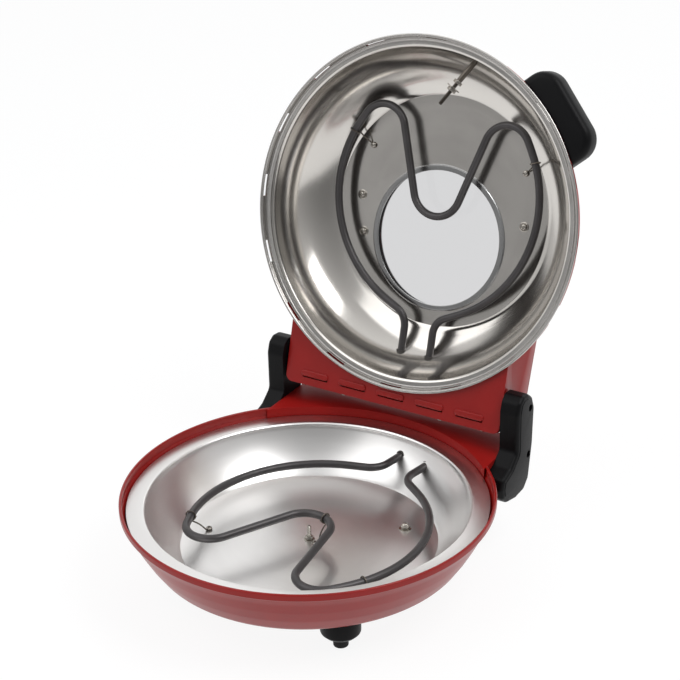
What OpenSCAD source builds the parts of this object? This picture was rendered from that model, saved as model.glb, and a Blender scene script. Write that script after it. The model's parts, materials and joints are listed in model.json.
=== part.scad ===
// Electric pizza maker: round clamshell cooker with a red base bowl, a hinged domed lid,
// polished reflectors and an exposed tubular heating element in each half.
// Base frame: +Z up, z = 0 under the feet, front towards -Y. The lid is drawn shut and then opened.

/* [Base] */
// outer radius of the base rim
rim_r = 175; // [150:1:200]
// height of the base rim above the table
rim_h = 92; // [80:1:110]
// sheet thickness of the painted shells
shell_t = 1; // [0.8:0.1:2]
// sheet thickness of the reflectors
foil_t = 0.6; // [0.5:0.1:1]
// height of the rolled bead at the rim
bead_h = 7; // [4:0.5:10]
// radius of the bowl's lower corner
corner_r = 146; // [125:1:160]
// depth of the bowl's lower corner under the rim
corner_d = 55; // [45:1:70]
// radius of the flat underside
belly_r = 122; // [110:1:130]
// depth of the flat underside under the rim
belly_d = 64.5; // [58:0.5:75]
// depth of the tray flange under the rim
tray_d = 9.2; // [6:0.2:14]
// inner radius of the tray flange
tray_in_r = 152.5; // [140:0.5:160]
// radius of the tray floor
tray_floor_r = 121; // [105:1:130]
// depth of the tray floor under the rim
tray_floor_d = 52; // [40:1:58]

/* [Rear housing and arms] */
// half width of the rear housing
house_hw = 122.3; // [110:0.1:130]
// distance of the housing's rear wall behind the base rim
house_back = 14; // [6:0.5:20]
// depth of the housing under the rim
house_d = 46; // [40:1:56]
// thickness of a hinge arm with its cover
arm_t = 20.7; // [16:0.1:26]
// hinge axis behind the dome
hinge_back = 4.2; // [3:0.1:12]
// hinge axis above the base rim
hinge_up = 28.4; // [20:0.1:40]
// radius of the hinge pins
pin_r = 5; // [3:0.5:7]
// running clearance around a hinge pin
pin_gap = 0.05; // [0.02:0.01:0.1]
// opening angle of the lid as stored
open_angle = 105.4; // [90:0.1:115]

/* [Lid] */
// gap between the rims when the lid is shut
lid_gap = 0.5; // [0.3:0.1:2]
// step from the base rim in to the dome
lid_step = 3; // [1:0.1:6]
// lip of the lid's steel ring past the dome
ring_lip = 0.7; // [0.3:0.1:2]
// width of the slotted band inside the dome
band_w = 7; // [6:0.5:12]
// number of slots in the band
slot_n = 16; // [8:1:24]
// length of one slot
slot_l = 20; // [12:1:28]
// height of the dome's shoulder
shoulder_h = 56; // [45:1:65]
// radius of the dome's shoulder
shoulder_r = 143; // [125:1:155]
// radius of the dome's flat top
top_r = 106; // [103:1:120]
// height of the dome's flat top
top_h = 70; // [66:1:85]
// depth of the lid reflector's floor
floor_h = 62.5; // [50:0.5:64]
// radius of the lid reflector's floor
floor_r = 115; // [104:1:120]
// gap between the lid's rear box and a hinge arm
box_gap = 2; // [0.5:0.1:4]
// rear wall of the lid box behind the dome
box_back = 18.9; // [14:0.1:30]
// height of the lid box's underside over the rim plane
plate_h = 5.6; // [3:0.1:10]
// height of the lid box at its rear edge
box_edge_h = 45; // [38:1:50]
// height of the lid box behind the hinge
box_top_h = 58; // [52:1:62]
// radius of the window ring
win_r = 73.2; // [50:0.2:76]
// offset of the window towards the hinge
win_off = 26.9; // [10:0.1:30]
// thickness of a window pane
glass_t = 3; // [3:0.5:5]

/* [Elements] */
// radius of the element tube
el_r = 3.8; // [3:0.1:5]
// depth of the lower element under the base rim
low_el_d = 27; // [18:0.5:36]
// height of the upper element over the lid's rim plane
up_el_h = 47; // [38:0.5:52]
// turn of the lower element about the bowl axis
low_turn = -9.5; // [-20:0.5:20]
// sideways offset of the lower element
low_x = 9.5; // [-12:0.5:12]
// rearward offset of the lower element
low_y = 2.5; // [-10:0.5:10]

/* [Feet and handle] */
// distance of the front feet from the bowl axis
foot_rho = 118; // [90:1:130]
// angle of the front feet from straight ahead
foot_az = 45.5; // [30:0.5:60]
// radius of a front foot
foot_r = 18.5; // [12:0.5:22]
// height of a rubber pad
pad_h = 12; // [6:0.5:14]
// radius of a rubber pad
pad_r = 7; // [5:0.5:10]
// rear feet to either side
rear_foot_x = 92; // [70:1:105]
// rear feet behind the bowl axis
rear_foot_y = 152; // [140:1:165]
// angle of the handle from straight ahead
handle_az = 48.6; // [0:0.2:60]
// reach of the handle from the lid axis
handle_reach = 196; // [190:1:215]
// half width of the handle
handle_hw = 46; // [35:1:55]
// thickness of the handle
handle_t = 23; // [16:0.5:30]
// radius of the handle's corners
handle_round = 22; // [8:1:30]

/* [Hidden] */
$fn = 64;
eps = 0.02;
dome_r = rim_r - lid_step;
ring_r = dome_r + ring_lip;
band_in_r = dome_r - band_w;
house_y = rim_r + house_back;
apron_r = rim_r - 5.6; // inner face of the apron
hinge_y = dome_r + hinge_back;
box_y = dome_r + box_back;
box_hw = house_hw - box_gap;
deck_y = sqrt(rim_r * rim_r - house_hw * house_hw) - 25; // where the housing's side walls start
plate_y = sqrt(dome_r * dome_r - box_hw * box_hw) - 5; // where the lid plate starts
open_c = cos(open_angle);
open_s = sin(open_angle);
hinge_h = hinge_up - lid_gap; // hinge above the lid's rim plane
hinge_z = rim_h + hinge_up;
function open_y(y, z) = hinge_y + (y - hinge_y) * open_c + (z - hinge_h) * open_s;
rear_reach = open_y(-top_r, top_h);
y_shift = (rear_reach - rim_r) / 2; // centres the open part on y = 0
seat_z = rim_h - tray_d; // top of the tray flange
floor_z = rim_h - tray_floor_d;
belly_z = rim_h - belly_d;
house_z = rim_h - house_d;
low_el_z = rim_h - low_el_d;
bore_r = pin_r + pin_gap;
arm_mid = house_hw + 9; // joint between an arm and its cover
case_screw_r = 1.7; // screws of the arm covers and of the lid posts
well_d = 5; // depth of the wells for their heads
tray_rho = 130; // radius of the tray's wall arc
wall_rho = 60; // radius of the lid reflector's wall arc
wall_top = [band_in_r - 5, 10]; // where that arc starts
gland_z = house_z + 18;
gland_r = 8; // neck of the cord gland
cord_r = 3.6; // its bore for the mains lead
screw_r = 1.6; // M3 screws
head_r = 3.2;
box_t = 1.2; // sheet of the lid's rear box
stud_r = 2; // M4 studs and screws
stud_hole = stud_r + 0.1;
root_r = 1.6; // its thread's root, inside the nuts
nut_h = 3.2;
neck_r = el_r + 1.2; // bush in the reflector's wall
collar_r = 8;
bezel_w = 6; // width of the metal ring round the window
seal_in_r = win_r - 3.4;
clip_w = 2.4;
clip_gap = 0.15;

// ---------- helpers ----------
module on_base() translate([0, -y_shift, 0]) children();
module on_lid()
    translate([0, hinge_y - y_shift, hinge_z]) rotate([-open_angle, 0, 0])
        translate([0, -hinge_y, -hinge_h]) children();
module sides() { children(); mirror([1, 0, 0]) children(); }
module ring(r1, r0, h) difference() {
    cylinder(r = r1, h = h);
    translate([0, 0, -1]) cylinder(r = r0, h = h + 2);
}
module block(x0, x1, y0, y1, z0, z1) translate([x0, y0, z0]) cube([x1 - x0, y1 - y0, z1 - z0]);
module along_x(x, y, z) translate([x, y, z]) rotate([0, 90, 0]) children();
module along_y(x, y, z) translate([x, y, z]) rotate([-90, 0, 0]) children();
module hex(af, h) cylinder(r = af / sqrt(3), h = h, $fn = 6);
function unit(v) = v / norm(v);
function dir(v) = atan2(v[1], v[0]);
// centre of the arc of radius rho through two points, on the axis side
function arc_mid(a, b, rho) = let(m = (a + b) / 2, d = unit(b - a), s = norm(b - a) / 2)
    m + [-d[1], d[0]] * sqrt(rho * rho - s * s);
module arc_band(a, b, rho, t) {
    c = arc_mid(a, b, rho);
    k = 1.5;
    intersection() {
        difference() { translate(c) circle(r = rho + t, $fn = 96); translate(c) circle(r = rho, $fn = 96); }
        polygon([c, c + k * (a - c), c + k * (a - c) + k * (b - c), c + k * (b - c)]);
    }
}
// a round bar along a line of points, each inner point with its bend radius
function back(p, i) = unit(p[i - 1] - p[i]);
function ahead(p, i) = unit(p[i + 1] - p[i]);
function turn(p, i) = 180 - acos(back(p, i) * ahead(p, i));
function cut(p, q, i) = q[i] * tan(turn(p, i) / 2);
function bend_mid(p, q, i) = p[i] + unit(back(p, i) + ahead(p, i)) * q[i] / cos(turn(p, i) / 2);
function leave(p, q, i) = i == 0 ? p[0] : p[i] + ahead(p, i) * cut(p, q, i);
function arrive(p, q, i) = i == len(p) - 1 ? p[i] : p[i] + back(p, i) * cut(p, q, i);
lap = 0.3; // the straight lengths reach this far into the bends
slim = 0.05; // and are this much thinner, so that both join cleanly
module bar(a, b, r, l0, l1) translate([a[0], a[1], 0]) rotate([0, 90, dir(b - a)])
    translate([0, 0, -l0]) cylinder(r = r - slim, h = norm(b - a) + l0 + l1);
module bent_bar(p, q, r) {
    n = len(p) - 2;
    for (i = [0 : n]) bar(leave(p, q, i), arrive(p, q, i + 1), r, i == 0 ? 0 : lap, i == n ? 0 : lap);
    for (i = [1 : len(p) - 2]) {
        c = bend_mid(p, q, i);
        left = back(p, i)[0] * ahead(p, i)[1] - back(p, i)[1] * ahead(p, i)[0] < 0;
        s = left ? arrive(p, q, i) : leave(p, q, i);
        translate([c[0], c[1], 0]) rotate([0, 0, dir(s - c)])
            rotate_extrude(angle = turn(p, i)) translate([q[i], 0]) circle(r = r, $fn = 24);
    }
}
// heating element: exits at the rear, two shoulders and a dip between them
el_half = [[16, 158], [16, 106.8], [159.6, 36.4], [61.4, -131.5]];
el_bend = [0, 20, 121.5, 24];
function mirrored(v) = [for (i = [len(v) - 1 : -1 : 0]) [-v[i][0], v[i][1]]];
function reversed(v) = [for (i = [len(v) - 1 : -1 : 0]) v[i]];
el_path = concat(el_half, [[0, 63.8]], mirrored(el_half));
el_radii = concat(el_bend, [25.7], reversed(el_bend));
module element() bent_bar(el_path, el_radii, el_r);
module low_el() translate([low_x, low_y, low_el_z]) rotate([0, 0, low_turn]) children();
module up_el() translate([0, 0, up_el_h]) children();
// point of the tube's centre line on bend i, at angle a about the bend's centre
function on_bend(i, a) = bend_mid(el_path, el_radii, i) + el_radii[i] * [cos(a), sin(a)];

// ---------- shapes shared by several pieces ----------
function skin(o) = [[0, o - belly_d], [belly_r - o * 0.2, o - belly_d],
    [corner_r - o * 0.7, o * 0.8 - corner_d],
    [corner_r + 10.2 - o, -corner_d + 15.5], [corner_r + 17.2 - o, -corner_d + 28.2],
    [rim_r - 5.7 - o, -14.3], [rim_r - 1.2 - o, -bead_h], [rim_r - 1.2 - o, -eps], [0, -eps]];
module bowl_fill(o = 0) translate([0, 0, rim_h]) rotate_extrude() polygon(skin(o));
function lid_skin(o) = [[0, eps], [dome_r - o, eps], [dome_r - o, 6], [shoulder_r + 22 - o, 20],
    [shoulder_r + 10 - o, 39.5], [shoulder_r - o * 0.7, shoulder_h - o * 0.8], [top_r - o * 0.2, top_h - o],
    [0, top_h - o]];
module dome_fill(o = 0) rotate_extrude() polygon(lid_skin(o));

// ---------- base ----------
rear_vent_pitch = 22;
rim_cut_y = 60; // behind this line the rim gives way to the rear deck
apron_h = 12; // height of the apron round the tray
module rear_zone() block(-house_hw, house_hw, rim_cut_y, house_y + 20, rim_h - apron_h, rim_h + 5);
module base_bowl() on_base() color("firebrick") difference() {
    union() {
        difference() {
            bowl_fill();
            bowl_fill(shell_t);
            translate([0, 0, rim_h - bead_h]) cylinder(r = rim_r - 2.2, h = bead_h + 1);
        }
        // rolled bead and the ledge that carries the tray
        translate([0, 0, rim_h]) rotate_extrude() polygon([[rim_r - 2.8, -bead_h], [rim_r - 0.6, -bead_h],
            [rim_r, -bead_h + 1.2], [rim_r, -1.2], [rim_r - 0.8, 0], [rim_r - 2, 0], [rim_r - 2.8, -1]]);
        translate([0, 0, seat_z - foil_t - 1]) ring(rim_r - 3.6, tray_in_r + 10, 1);
    }
    rear_zone();
    translate([0, 0, belly_z - 1]) cylinder(r = belly_r - 30, h = 5);
    cover_screw_places() cylinder(r = screw_r, h = belly_z + 5);
    // openings into the rear housing for the element ends
    block(low_x - 49.5, low_x + 50.5, 120, rim_r, low_el_z - 14, low_el_z + 9);
    foot_places() cylinder(r = stud_hole, h = belly_z + 12);
}
module foot_places() for (s = [-1, 1])
    translate([s * foot_rho * sin(foot_az), -foot_rho * cos(foot_az), 0]) children();
module rear_foot_places() for (s = [-1, 1]) translate([s * rear_foot_x, rear_foot_y, 0]) children();

module rear_housing() on_base() color("firebrick") difference() {
    union() {
        // deck, flush with the rim
        difference() {
            block(-house_hw, house_hw, deck_y, house_y, rim_h - 1.2, rim_h);
            translate([0, 0, rim_h - 3]) cylinder(r = apron_r, h = 6);
        }
        // curved apron round the tray
        intersection() {
            translate([0, 0, rim_h - apron_h]) ring(apron_r + 1.2, apron_r, apron_h - 1);
            block(-house_hw, house_hw, deck_y, house_y, rim_h - apron_h - 1, rim_h);
        }
        // side and rear walls
        difference() {
            block(-house_hw, house_hw, deck_y, house_y, house_z, rim_h - 1);
            block(-house_hw + 1.5, house_hw - 1.5, deck_y - 10, house_y - 1.5, house_z - 1, rim_h - 1);
            bowl_fill(-eps);
        }
    }
    along_y(0, house_y - 5, gland_z) cylinder(r = gland_r, h = 10);
    sides() for (p = bolt_at) along_x(house_hw - 5, p[0], rim_h + p[1]) cylinder(r = bolt_r + 0.1, h = 10);
    // vents low in the rear wall
    for (i = [-4 : 4]) if (abs(i) > 1) translate([i * rear_vent_pitch, 0, 0])
        block(-7, 7, house_y - 5, house_y + 5, house_z + 14, house_z + 17);
}
module housing_floor() on_base() color("dimgray") difference() {
    block(-house_hw + 1.5, house_hw - 1.5, deck_y - 4, house_y - 1.5, house_z, house_z + 1.5);
    bowl_fill(-eps);
    rear_foot_places() cylinder(r = stud_hole, h = rim_h);
}
module bottom_cover() on_base() color("silver") difference() {
    union() {
        translate([0, 0, belly_z - 1]) cylinder(r = belly_r - 23.5, h = 1);
        translate([0, 0, belly_z]) ring(belly_r - 30, belly_r - 33, 2);
    }
    cover_screw_places() cylinder(r = screw_r, h = rim_h);
    cylinder(r = stud_r, h = rim_h);
    for (a = [0 : 45 : 315]) rotate([0, 0, a]) block(30, 62, -2, 2, belly_z - 5, belly_z + 4);
}
module cover_screw_places() for (a = [30 : 60 : 330])
    rotate([0, 0, a]) translate([belly_r - 26.5, 0, 0]) children();
module bottom_screws() on_base() color("gainsboro") cover_screw_places() translate([0, 0, belly_z - 1]) {
    translate([0, 0, -2]) cylinder(r = head_r, h = 2);
    cylinder(r = screw_r, h = 6);
}
module lower_reflector() on_base() color("lightgray") difference() {
    translate([0, 0, rim_h]) {
        rotate_extrude() {
            polygon([[rim_r - 6.1, -tray_d - foil_t], [rim_r - 6.1, -tray_d], [tray_in_r, -tray_d],
                [tray_in_r - 1, -tray_d - 0.4], [tray_in_r - 1, -tray_d - 4], [tray_in_r, -tray_d - 4],
                [tray_in_r, -tray_d - foil_t]]);
            arc_band([tray_floor_r, -tray_floor_d], [tray_in_r - 1, -tray_d - 2.8], tray_rho, foil_t);
            polygon([[0, -tray_floor_d - foil_t], [tray_floor_r + 0.4, -tray_floor_d - foil_t],
                [tray_floor_r + 0.4, -tray_floor_d], [0, -tray_floor_d]]);
        }
    }
    translate([0, 0, floor_z - 5]) cylinder(r = stud_r, h = 10);
    low_el() for (s = [-1, 1]) along_y(s * el_half[0][0], 110, 0) cylinder(r = neck_r, h = 60);
    low_screw_places() translate([0, 0, -5]) cylinder(r = 1.5, h = 10);
    translate([acorn[0], acorn[1], floor_z - 5]) cylinder(r = stud_r, h = 10);
}
// ---------- lower element and its fittings ----------
module lower_element() on_base() color([0.25, 0.24, 0.23]) low_el() element();
module bushes(from) for (s = [-1, 1]) along_y(s * el_half[0][0], from, 0) difference() {
    union() {
        cylinder(r = neck_r, h = 16);
        translate([0, 0, 12]) cylinder(r = collar_r, h = 3);
    }
    translate([0, 0, -1]) cylinder(r = el_r, h = 20);
}
module terminals() for (s = [-1, 1]) along_y(s * el_half[0][0], el_half[0][1], 0) {
    cylinder(r = 1.8, h = 5);
    translate([-3.2, -0.4, 4]) cube([6.4, 0.8, 7]);
}
low_bush_y = 139.5; // start of a bush, behind the tray's wall
up_bush_y = 142; // start of a bush, behind the lid reflector's wall
module lower_bushes() on_base() color("ivory") low_el() bushes(low_bush_y);
module lower_terminals() on_base() color("silver") low_el() terminals();
// clips: place, direction of the tube there, direction and reach of the floor tab
function flip(v) = [-v[0], v[1]];
low_clip = [[flip(on_bend(2, -28)), 118, 86, 21.4], [on_bend(4, 78), 168, 250, 11],
    [on_bend(2, -20), 70, 102, 21]];
up_clip = [[on_bend(2, -24.4), 65.6, 138.7, 19.7], [flip(on_bend(2, -24.4)), 114.4, 41.3, 19.7]];
function screw_at(k) = k[0] + k[3] * [cos(k[2]), sin(k[2])];
module clip(k, drop) translate([k[0][0], k[0][1], 0]) {
    rotate([0, 0, k[1]]) difference() {
        along_x(-clip_w / 2, 0, 0) cylinder(r = el_r + clip_gap + 0.8, h = clip_w);
        along_x(-clip_w, 0, 0) cylinder(r = el_r + clip_gap, h = 2 * clip_w);
    }
    rotate([0, 0, k[2]]) rod([0.6, 0, -el_r - clip_gap - 0.6], [k[3] - 4.5, 0, 0.7 - drop], 0.9);
    difference() {
        rotate([0, 0, k[2]]) block(k[3] - 6, k[3] + 3.5, -2.5, 2.5, -drop, -drop + 0.8);
        rotate([0, 0, k[2]]) translate([k[3], 0, -drop - 1]) cylinder(r = 1.5, h = 3);
    }
}
module clip_screw(p, drop) translate([p[0], p[1], -drop]) {
    translate([0, 0, -3.5]) cylinder(r = 1.5, h = 4.3);
    translate([0, 0, 0.8]) cylinder(r = 3, h = 1.8);
}
low_drop = low_el_z - floor_z;
up_drop = floor_h - up_el_h;
module low_screw_places() low_el() for (k = low_clip)
    translate([screw_at(k)[0], screw_at(k)[1], -low_drop]) children();
module lower_clips() on_base() color("gray") low_el() for (k = low_clip) clip(k, low_drop);
module lower_clip_screws() on_base() color("gainsboro") low_el()
    for (k = low_clip) clip_screw(screw_at(k), low_drop);
stud_top = floor_z + 15.5;
stud_neck = floor_z + 0.8 + nut_h;
module centre_stud() on_base() color("gainsboro") {
    translate([0, 0, belly_z - 5.5]) cylinder(r = root_r, h = stud_neck - belly_z + 5.5);
    translate([0, 0, stud_neck]) cylinder(r = stud_r, h = stud_top - stud_neck);
}
module stud_nuts() on_base() color("silver") {
    for (z = [floor_z, belly_z - 1.8]) translate([0, 0, z]) ring(5.2, root_r, 0.8);
    for (z = [floor_z + 0.8, belly_z - 1.8 - nut_h]) translate([0, 0, z]) difference() {
        hex(7, nut_h);
        translate([0, 0, -1]) cylinder(r = root_r, h = 9);
    }
}
acorn = [68.8, 61];
module tray_bolt() on_base() color("silver") translate([acorn[0], acorn[1], floor_z]) {
    difference() {
        union() {
            cylinder(r = 6, h = 0.8);
            translate([0, 0, 0.8]) hex(7, nut_h);
            translate([0, 0, 0.8 + nut_h]) cylinder(r1 = 3.4, r2 = 1.6, h = 2.6);
        }
        translate([0, 0, -1]) cylinder(r = stud_r, h = 4);
    }
    translate([0, 0, -foil_t - 2]) cylinder(r = stud_r, h = 5 + foil_t);
}
module thermostat() on_base() color("tan") translate([-42, 62, floor_z - foil_t]) {
    translate([0, 0, -5]) cylinder(r = 8, h = 5);
    for (s = [-1, 1]) translate([s * 5 - 0.4, -14, -4]) cube([0.8, 7, 3]);
}
module fuse_clip() on_base() color("silver") translate([40, 70, floor_z - foil_t - 2.6]) {
    along_x(-12, 0, 0) cylinder(r = 2, h = 24);
    block(-4, 4, -2.6, 2.6, 1.9, 2.6);
}
block_x = -45;
block_y = 164;
module terminal_block() on_base() color("ivory") difference() {
    block(block_x - 18, block_x + 18, block_y, block_y + 13, house_z + 1.5, house_z + 15);
    for (i = [-1 : 1]) along_y(block_x + i * 11, block_y - 1, house_z + 9) cylinder(r = 2.4, h = 20);
}
function low_end(s) = [low_x + s * 16 * cos(low_turn) - 165 * sin(low_turn),
    low_y + s * 16 * sin(low_turn) + 165 * cos(low_turn), low_el_z - 3.5];
module rod(a, b, r) translate(a) rotate([0, acos((b - a)[2] / norm(b - a)), dir([(b - a)[0], (b - a)[1]])])
    cylinder(r = r, h = norm(b - a));
module base_wires() on_base() color("white") for (s = [-1, 1])
    rod([block_x + s * 11, block_y + 6 + s * 3, house_z + 16.7], low_end(s), 1.3);
module cord_gland() on_base() color([0.08, 0.08, 0.09]) difference() {
    union() {
        along_y(0, house_y - 6, gland_z) cylinder(r = gland_r, h = 10);
        along_y(0, house_y, gland_z) cylinder(r = gland_r + 3, h = 4);
        along_y(0, house_y - 5.5, gland_z) cylinder(r = gland_r + 2.5, h = 4);
    }
    along_y(0, house_y - 10, gland_z) cylinder(r = cord_r, h = 30);
}
// ---------- feet ----------
module foot_body(r0, r1, top) difference() {
    union() {
        translate([0, 0, pad_h]) cylinder(r1 = r0 - 4, r2 = r0, h = 4);
        translate([0, 0, pad_h + 4]) cylinder(r1 = r0, r2 = r1, h = top - pad_h - 4);
    }
    cylinder(r = pad_r, h = pad_h + 2);
    cylinder(r = 4, h = pad_h + 6);
    cylinder(r = stud_hole, h = top + 5);
}
module front_feet() on_base() color([0.09, 0.09, 0.1]) difference() {
    foot_places() foot_body(foot_r, foot_r, belly_z + 9);
    bowl_fill(-0.01);
}
module rear_feet() on_base() color([0.09, 0.09, 0.1]) difference() {
    rear_foot_places() foot_body(12, 15, house_z);
    bowl_fill(-0.3);
}
module foot_pads() on_base() color("black") {
    foot_places() cylinder(r = pad_r, h = pad_h + 2);
    rear_foot_places() cylinder(r = pad_r, h = pad_h + 2);
}
module foot_screw(top) {
    translate([0, 0, pad_h + 2]) cylinder(r = 3.8, h = 4);
    translate([0, 0, pad_h + 6]) cylinder(r = 2, h = top - pad_h - 2);
    translate([0, 0, top]) difference() { hex(7, nut_h); translate([0, 0, -1]) cylinder(r = 2, h = 9); }
}
module foot_screws() on_base() color("silver") {
    foot_places() foot_screw(belly_z + shell_t);
    rear_foot_places() foot_screw(house_z + 1.5);
}
// ---------- hinge arms ----------
// outline of an arm: behind the hinge axis, above the base rim
arm_shape = [[-26.7, 6], [-27.2, 46], [-23.7, 57], [-16.2, 62], [-5.7, 61], [3.3, 54], [7.8, 42],
    [5.8, 4], [-1.2, -32], [-11.2, -41], [-28.2, -42], [-46.2, -38], [-56.2, -30], [-58.2, -20],
    [-55.2, -10], [-40.2, -5]];
arm_pts = [for (p = arm_shape) [hinge_y + p[0], p[1]]];
arm_screw_at = [[hinge_y - 3.2, 45], [hinge_y - 5.2, -4]];
bolt_r = 1.9; // bolts that hold the arms to the housing
bolt_y = hinge_y - 14.2;
bolt_at = [[bolt_y, 12 - house_d], [bolt_y, -14]];
module arm_plate(x0, x1) translate([x0, 0, rim_h]) rotate([90, 0, 90]) linear_extrude(x1 - x0) polygon(arm_pts);
module arm_body() difference() {
    arm_plate(house_hw, arm_mid);
    along_x(house_hw - 1, hinge_y, hinge_z) cylinder(r = pin_r, h = 20);
    for (p = bolt_at) along_x(house_hw - 1, p[0], rim_h + p[1]) cylinder(r = bolt_r, h = 8);
    for (p = arm_screw_at) along_x(arm_mid - 7, p[0], rim_h + p[1]) cylinder(r = case_screw_r, h = 20);
}
module arm_cover() difference() {
    arm_plate(arm_mid, house_hw + arm_t);
    block(arm_mid - 1, house_hw + arm_t - 3, hinge_y - 22.2, hinge_y - 10.2, rim_h - 24, rim_h + 52);
    for (p = arm_screw_at) {
        along_x(arm_mid - 1, p[0], rim_h + p[1]) cylinder(r = case_screw_r, h = 40);
        along_x(house_hw + arm_t - well_d, p[0], rim_h + p[1]) cylinder(r = head_r + 0.4, h = 2 * well_d);
    }
}
module left_arm() on_base() color([0.09, 0.09, 0.1]) mirror([1, 0, 0]) arm_body();
module right_arm() on_base() color([0.09, 0.09, 0.1]) arm_body();
module left_arm_cover() on_base() color([0.12, 0.12, 0.13]) mirror([1, 0, 0]) arm_cover();
module right_arm_cover() on_base() color([0.12, 0.12, 0.13]) arm_cover();
module arm_screws() on_base() color("dimgray") sides() for (p = arm_screw_at) {
    along_x(arm_mid - 7, p[0], rim_h + p[1])
        cylinder(r = case_screw_r, h = house_hw + arm_t - well_d - arm_mid + 7);
    along_x(house_hw + arm_t - well_d, p[0], rim_h + p[1]) cylinder(r = head_r, h = 2.4);
}
module arm_bolts() on_base() color("silver") sides() for (p = bolt_at) {
    along_x(house_hw - 3.5, p[0], rim_h + p[1]) cylinder(r = 3.4, h = 2);
    along_x(house_hw - 1.5, p[0], rim_h + p[1]) cylinder(r = bolt_r, h = 8);
}
module hinge_pins() on_base() color("gray") sides() difference() {
    union() {
        along_x(box_hw - 6, hinge_y, hinge_z) cylinder(r = pin_r, h = arm_mid - box_hw + 6);
        along_x(box_hw - 8, hinge_y, hinge_z) cylinder(r = pin_r + 2, h = 2.2);
    }
    along_x(box_hw - 10, hinge_y, hinge_z) cylinder(r = pin_r - 2, h = 40);
}

// ---------- lid, drawn shut: z = 0 on its rim plane, +Z up into the dome ----------
module lid_dome() on_lid() color("firebrick") difference() {
    dome_fill();
    dome_fill(shell_t);
    translate([0, 0, -1]) cylinder(r = rim_r, h = 2.2);
    translate([0, win_off, top_h - 6]) cylinder(r = win_r - 1.6, h = 10);
    for (s = [-1, 1]) block(s * el_half[0][0] - 10, s * el_half[0][0] + 10, 120, dome_r, up_el_h - 10, up_el_h + 10);
    handle_screw_places() cylinder(r = stud_r, h = 20);
    // vents in line with the ring's slots, where the rear box leaves them free
    for (i = [3 : slot_n - 3]) vent_place(i)
        block(dome_r - 12, dome_r + 5, -slot_l / 2, slot_l / 2, vent_z, vent_z + vent_w);
}
vent_z = 5.5;
vent_w = 5;
module vent_place(i) rotate([0, 0, 90 + i * 360 / slot_n]) children();
module lid_ring() on_lid() color("gainsboro") difference() {
    rotate_extrude() polygon([[ring_r, 0], [ring_r, 1.2], [dome_r - 1.2, 1.2], [dome_r - 2.4, 5.4],
        [band_in_r - 2, 5.4], [band_in_r - 2, 4.6], [dome_r - 3.2, 4.6], [dome_r - 2.2, 0.6], [dome_r - 1.6, 0]]);
    for (i = [0 : slot_n - 1]) vent_place(i)
        block(dome_r - 6, dome_r, -slot_l / 2, slot_l / 2, 1.5, 4.1);
}
module lid_reflector() on_lid() color("silver") difference() {
    rotate_extrude() {
        polygon([[wall_top[0], 5.4], [band_in_r - 0.1, 5.4], [band_in_r - 0.1, 5.4 + foil_t],
            [wall_top[0] + foil_t, 5.4 + foil_t], [wall_top[0] + foil_t, wall_top[1] + 0.3], wall_top]);
        arc_band(wall_top, [floor_r, floor_h], wall_rho, foil_t);
        polygon([[0, floor_h], [floor_r + 0.3, floor_h], [floor_r + 0.3, floor_h + foil_t], [0, floor_h + foil_t]]);
    }
    translate([0, win_off, floor_h - 5]) cylinder(r = win_r - 4, h = 10);
    up_el() for (s = [-1, 1]) along_y(s * el_half[0][0], 110, 0) cylinder(r = neck_r, h = 60);
    up_screw_places() translate([0, 0, -5]) cylinder(r = 1.5, h = 10);
    for (p = post_at) translate([p[0], p[1], floor_h - 5]) cylinder(r = case_screw_r, h = 10);
    at_lid_stud(-8) cylinder(r = stud_r, h = 16);
}
// screws that hold the reflector to the dome
post_at = [[90.5, -1], [-90.5, -1], [-83.7, 35.4]];
lid_stud_h = 24; // height at which the stud passes the reflector's wall
lid_stud_az = 12.5; // its place from straight ahead
lid_stud_lean = 14.5; // its lean from the wall's radius
lid_stud_dip = 21; // its dip towards the rim plane
lid_stud_l = 53; // its length inside the wall
lid_nut_s = 25; // first nut along the stud
wall_mid = arc_mid(wall_top, [floor_r, floor_h], wall_rho);
lid_stud_r = wall_mid[0] + sqrt(wall_rho * wall_rho - pow(lid_stud_h - wall_mid[1], 2));
module at_lid_stud(s) rotate([0, 0, lid_stud_az]) translate([0, -lid_stud_r, lid_stud_h])
    rotate([0, 0, lid_stud_lean]) rotate([-90 - lid_stud_dip, 0, 0]) translate([0, 0, s]) children();
module up_screw_places() for (k = up_clip) translate([screw_at(k)[0], screw_at(k)[1], floor_h]) children();
module upper_element() on_lid() color([0.25, 0.24, 0.23]) up_el() element();
module upper_bushes() on_lid() color("ivory") up_el() bushes(up_bush_y);
module upper_terminals() on_lid() color("silver") up_el() terminals();
module upper_clips() on_lid() color("gray") up_el() mirror([0, 0, 1]) for (k = up_clip) clip(k, up_drop);
module upper_clip_screws() on_lid() color("gainsboro") up_el() mirror([0, 0, 1])
    for (k = up_clip) clip_screw(screw_at(k), up_drop);
module lid_posts() on_lid() color("silver") for (p = post_at)
    translate([p[0], p[1], floor_h + foil_t]) ring(4, case_screw_r, top_h - shell_t - floor_h - foil_t);
module lid_screws() on_lid() color("gainsboro") for (p = post_at) translate([p[0], p[1], floor_h]) {
    translate([0, 0, -0.6]) cylinder(r = 5, h = 0.6);
    translate([0, 0, -2.6]) cylinder(r = head_r, h = 2);
    cylinder(r = case_screw_r, h = 6);
}
module lid_stud() on_lid() color("gainsboro") {
    at_lid_stud(-2.2) cylinder(r = stud_r, h = lid_stud_l + 2.2);
    at_lid_stud(1.2) cylinder(r = 2.7, h = lid_nut_s - 1.2); // spacer sleeve
}
module lid_stud_nuts() on_lid() color("silver") {
    for (s = [lid_nut_s, lid_nut_s + 9]) at_lid_stud(s) difference() {
        hex(8, nut_h);
        translate([0, 0, -1]) cylinder(r = stud_r, h = 9);
    }
    at_lid_stud(lid_nut_s + 8.2) ring(7, stud_r, 0.8);
}
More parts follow.
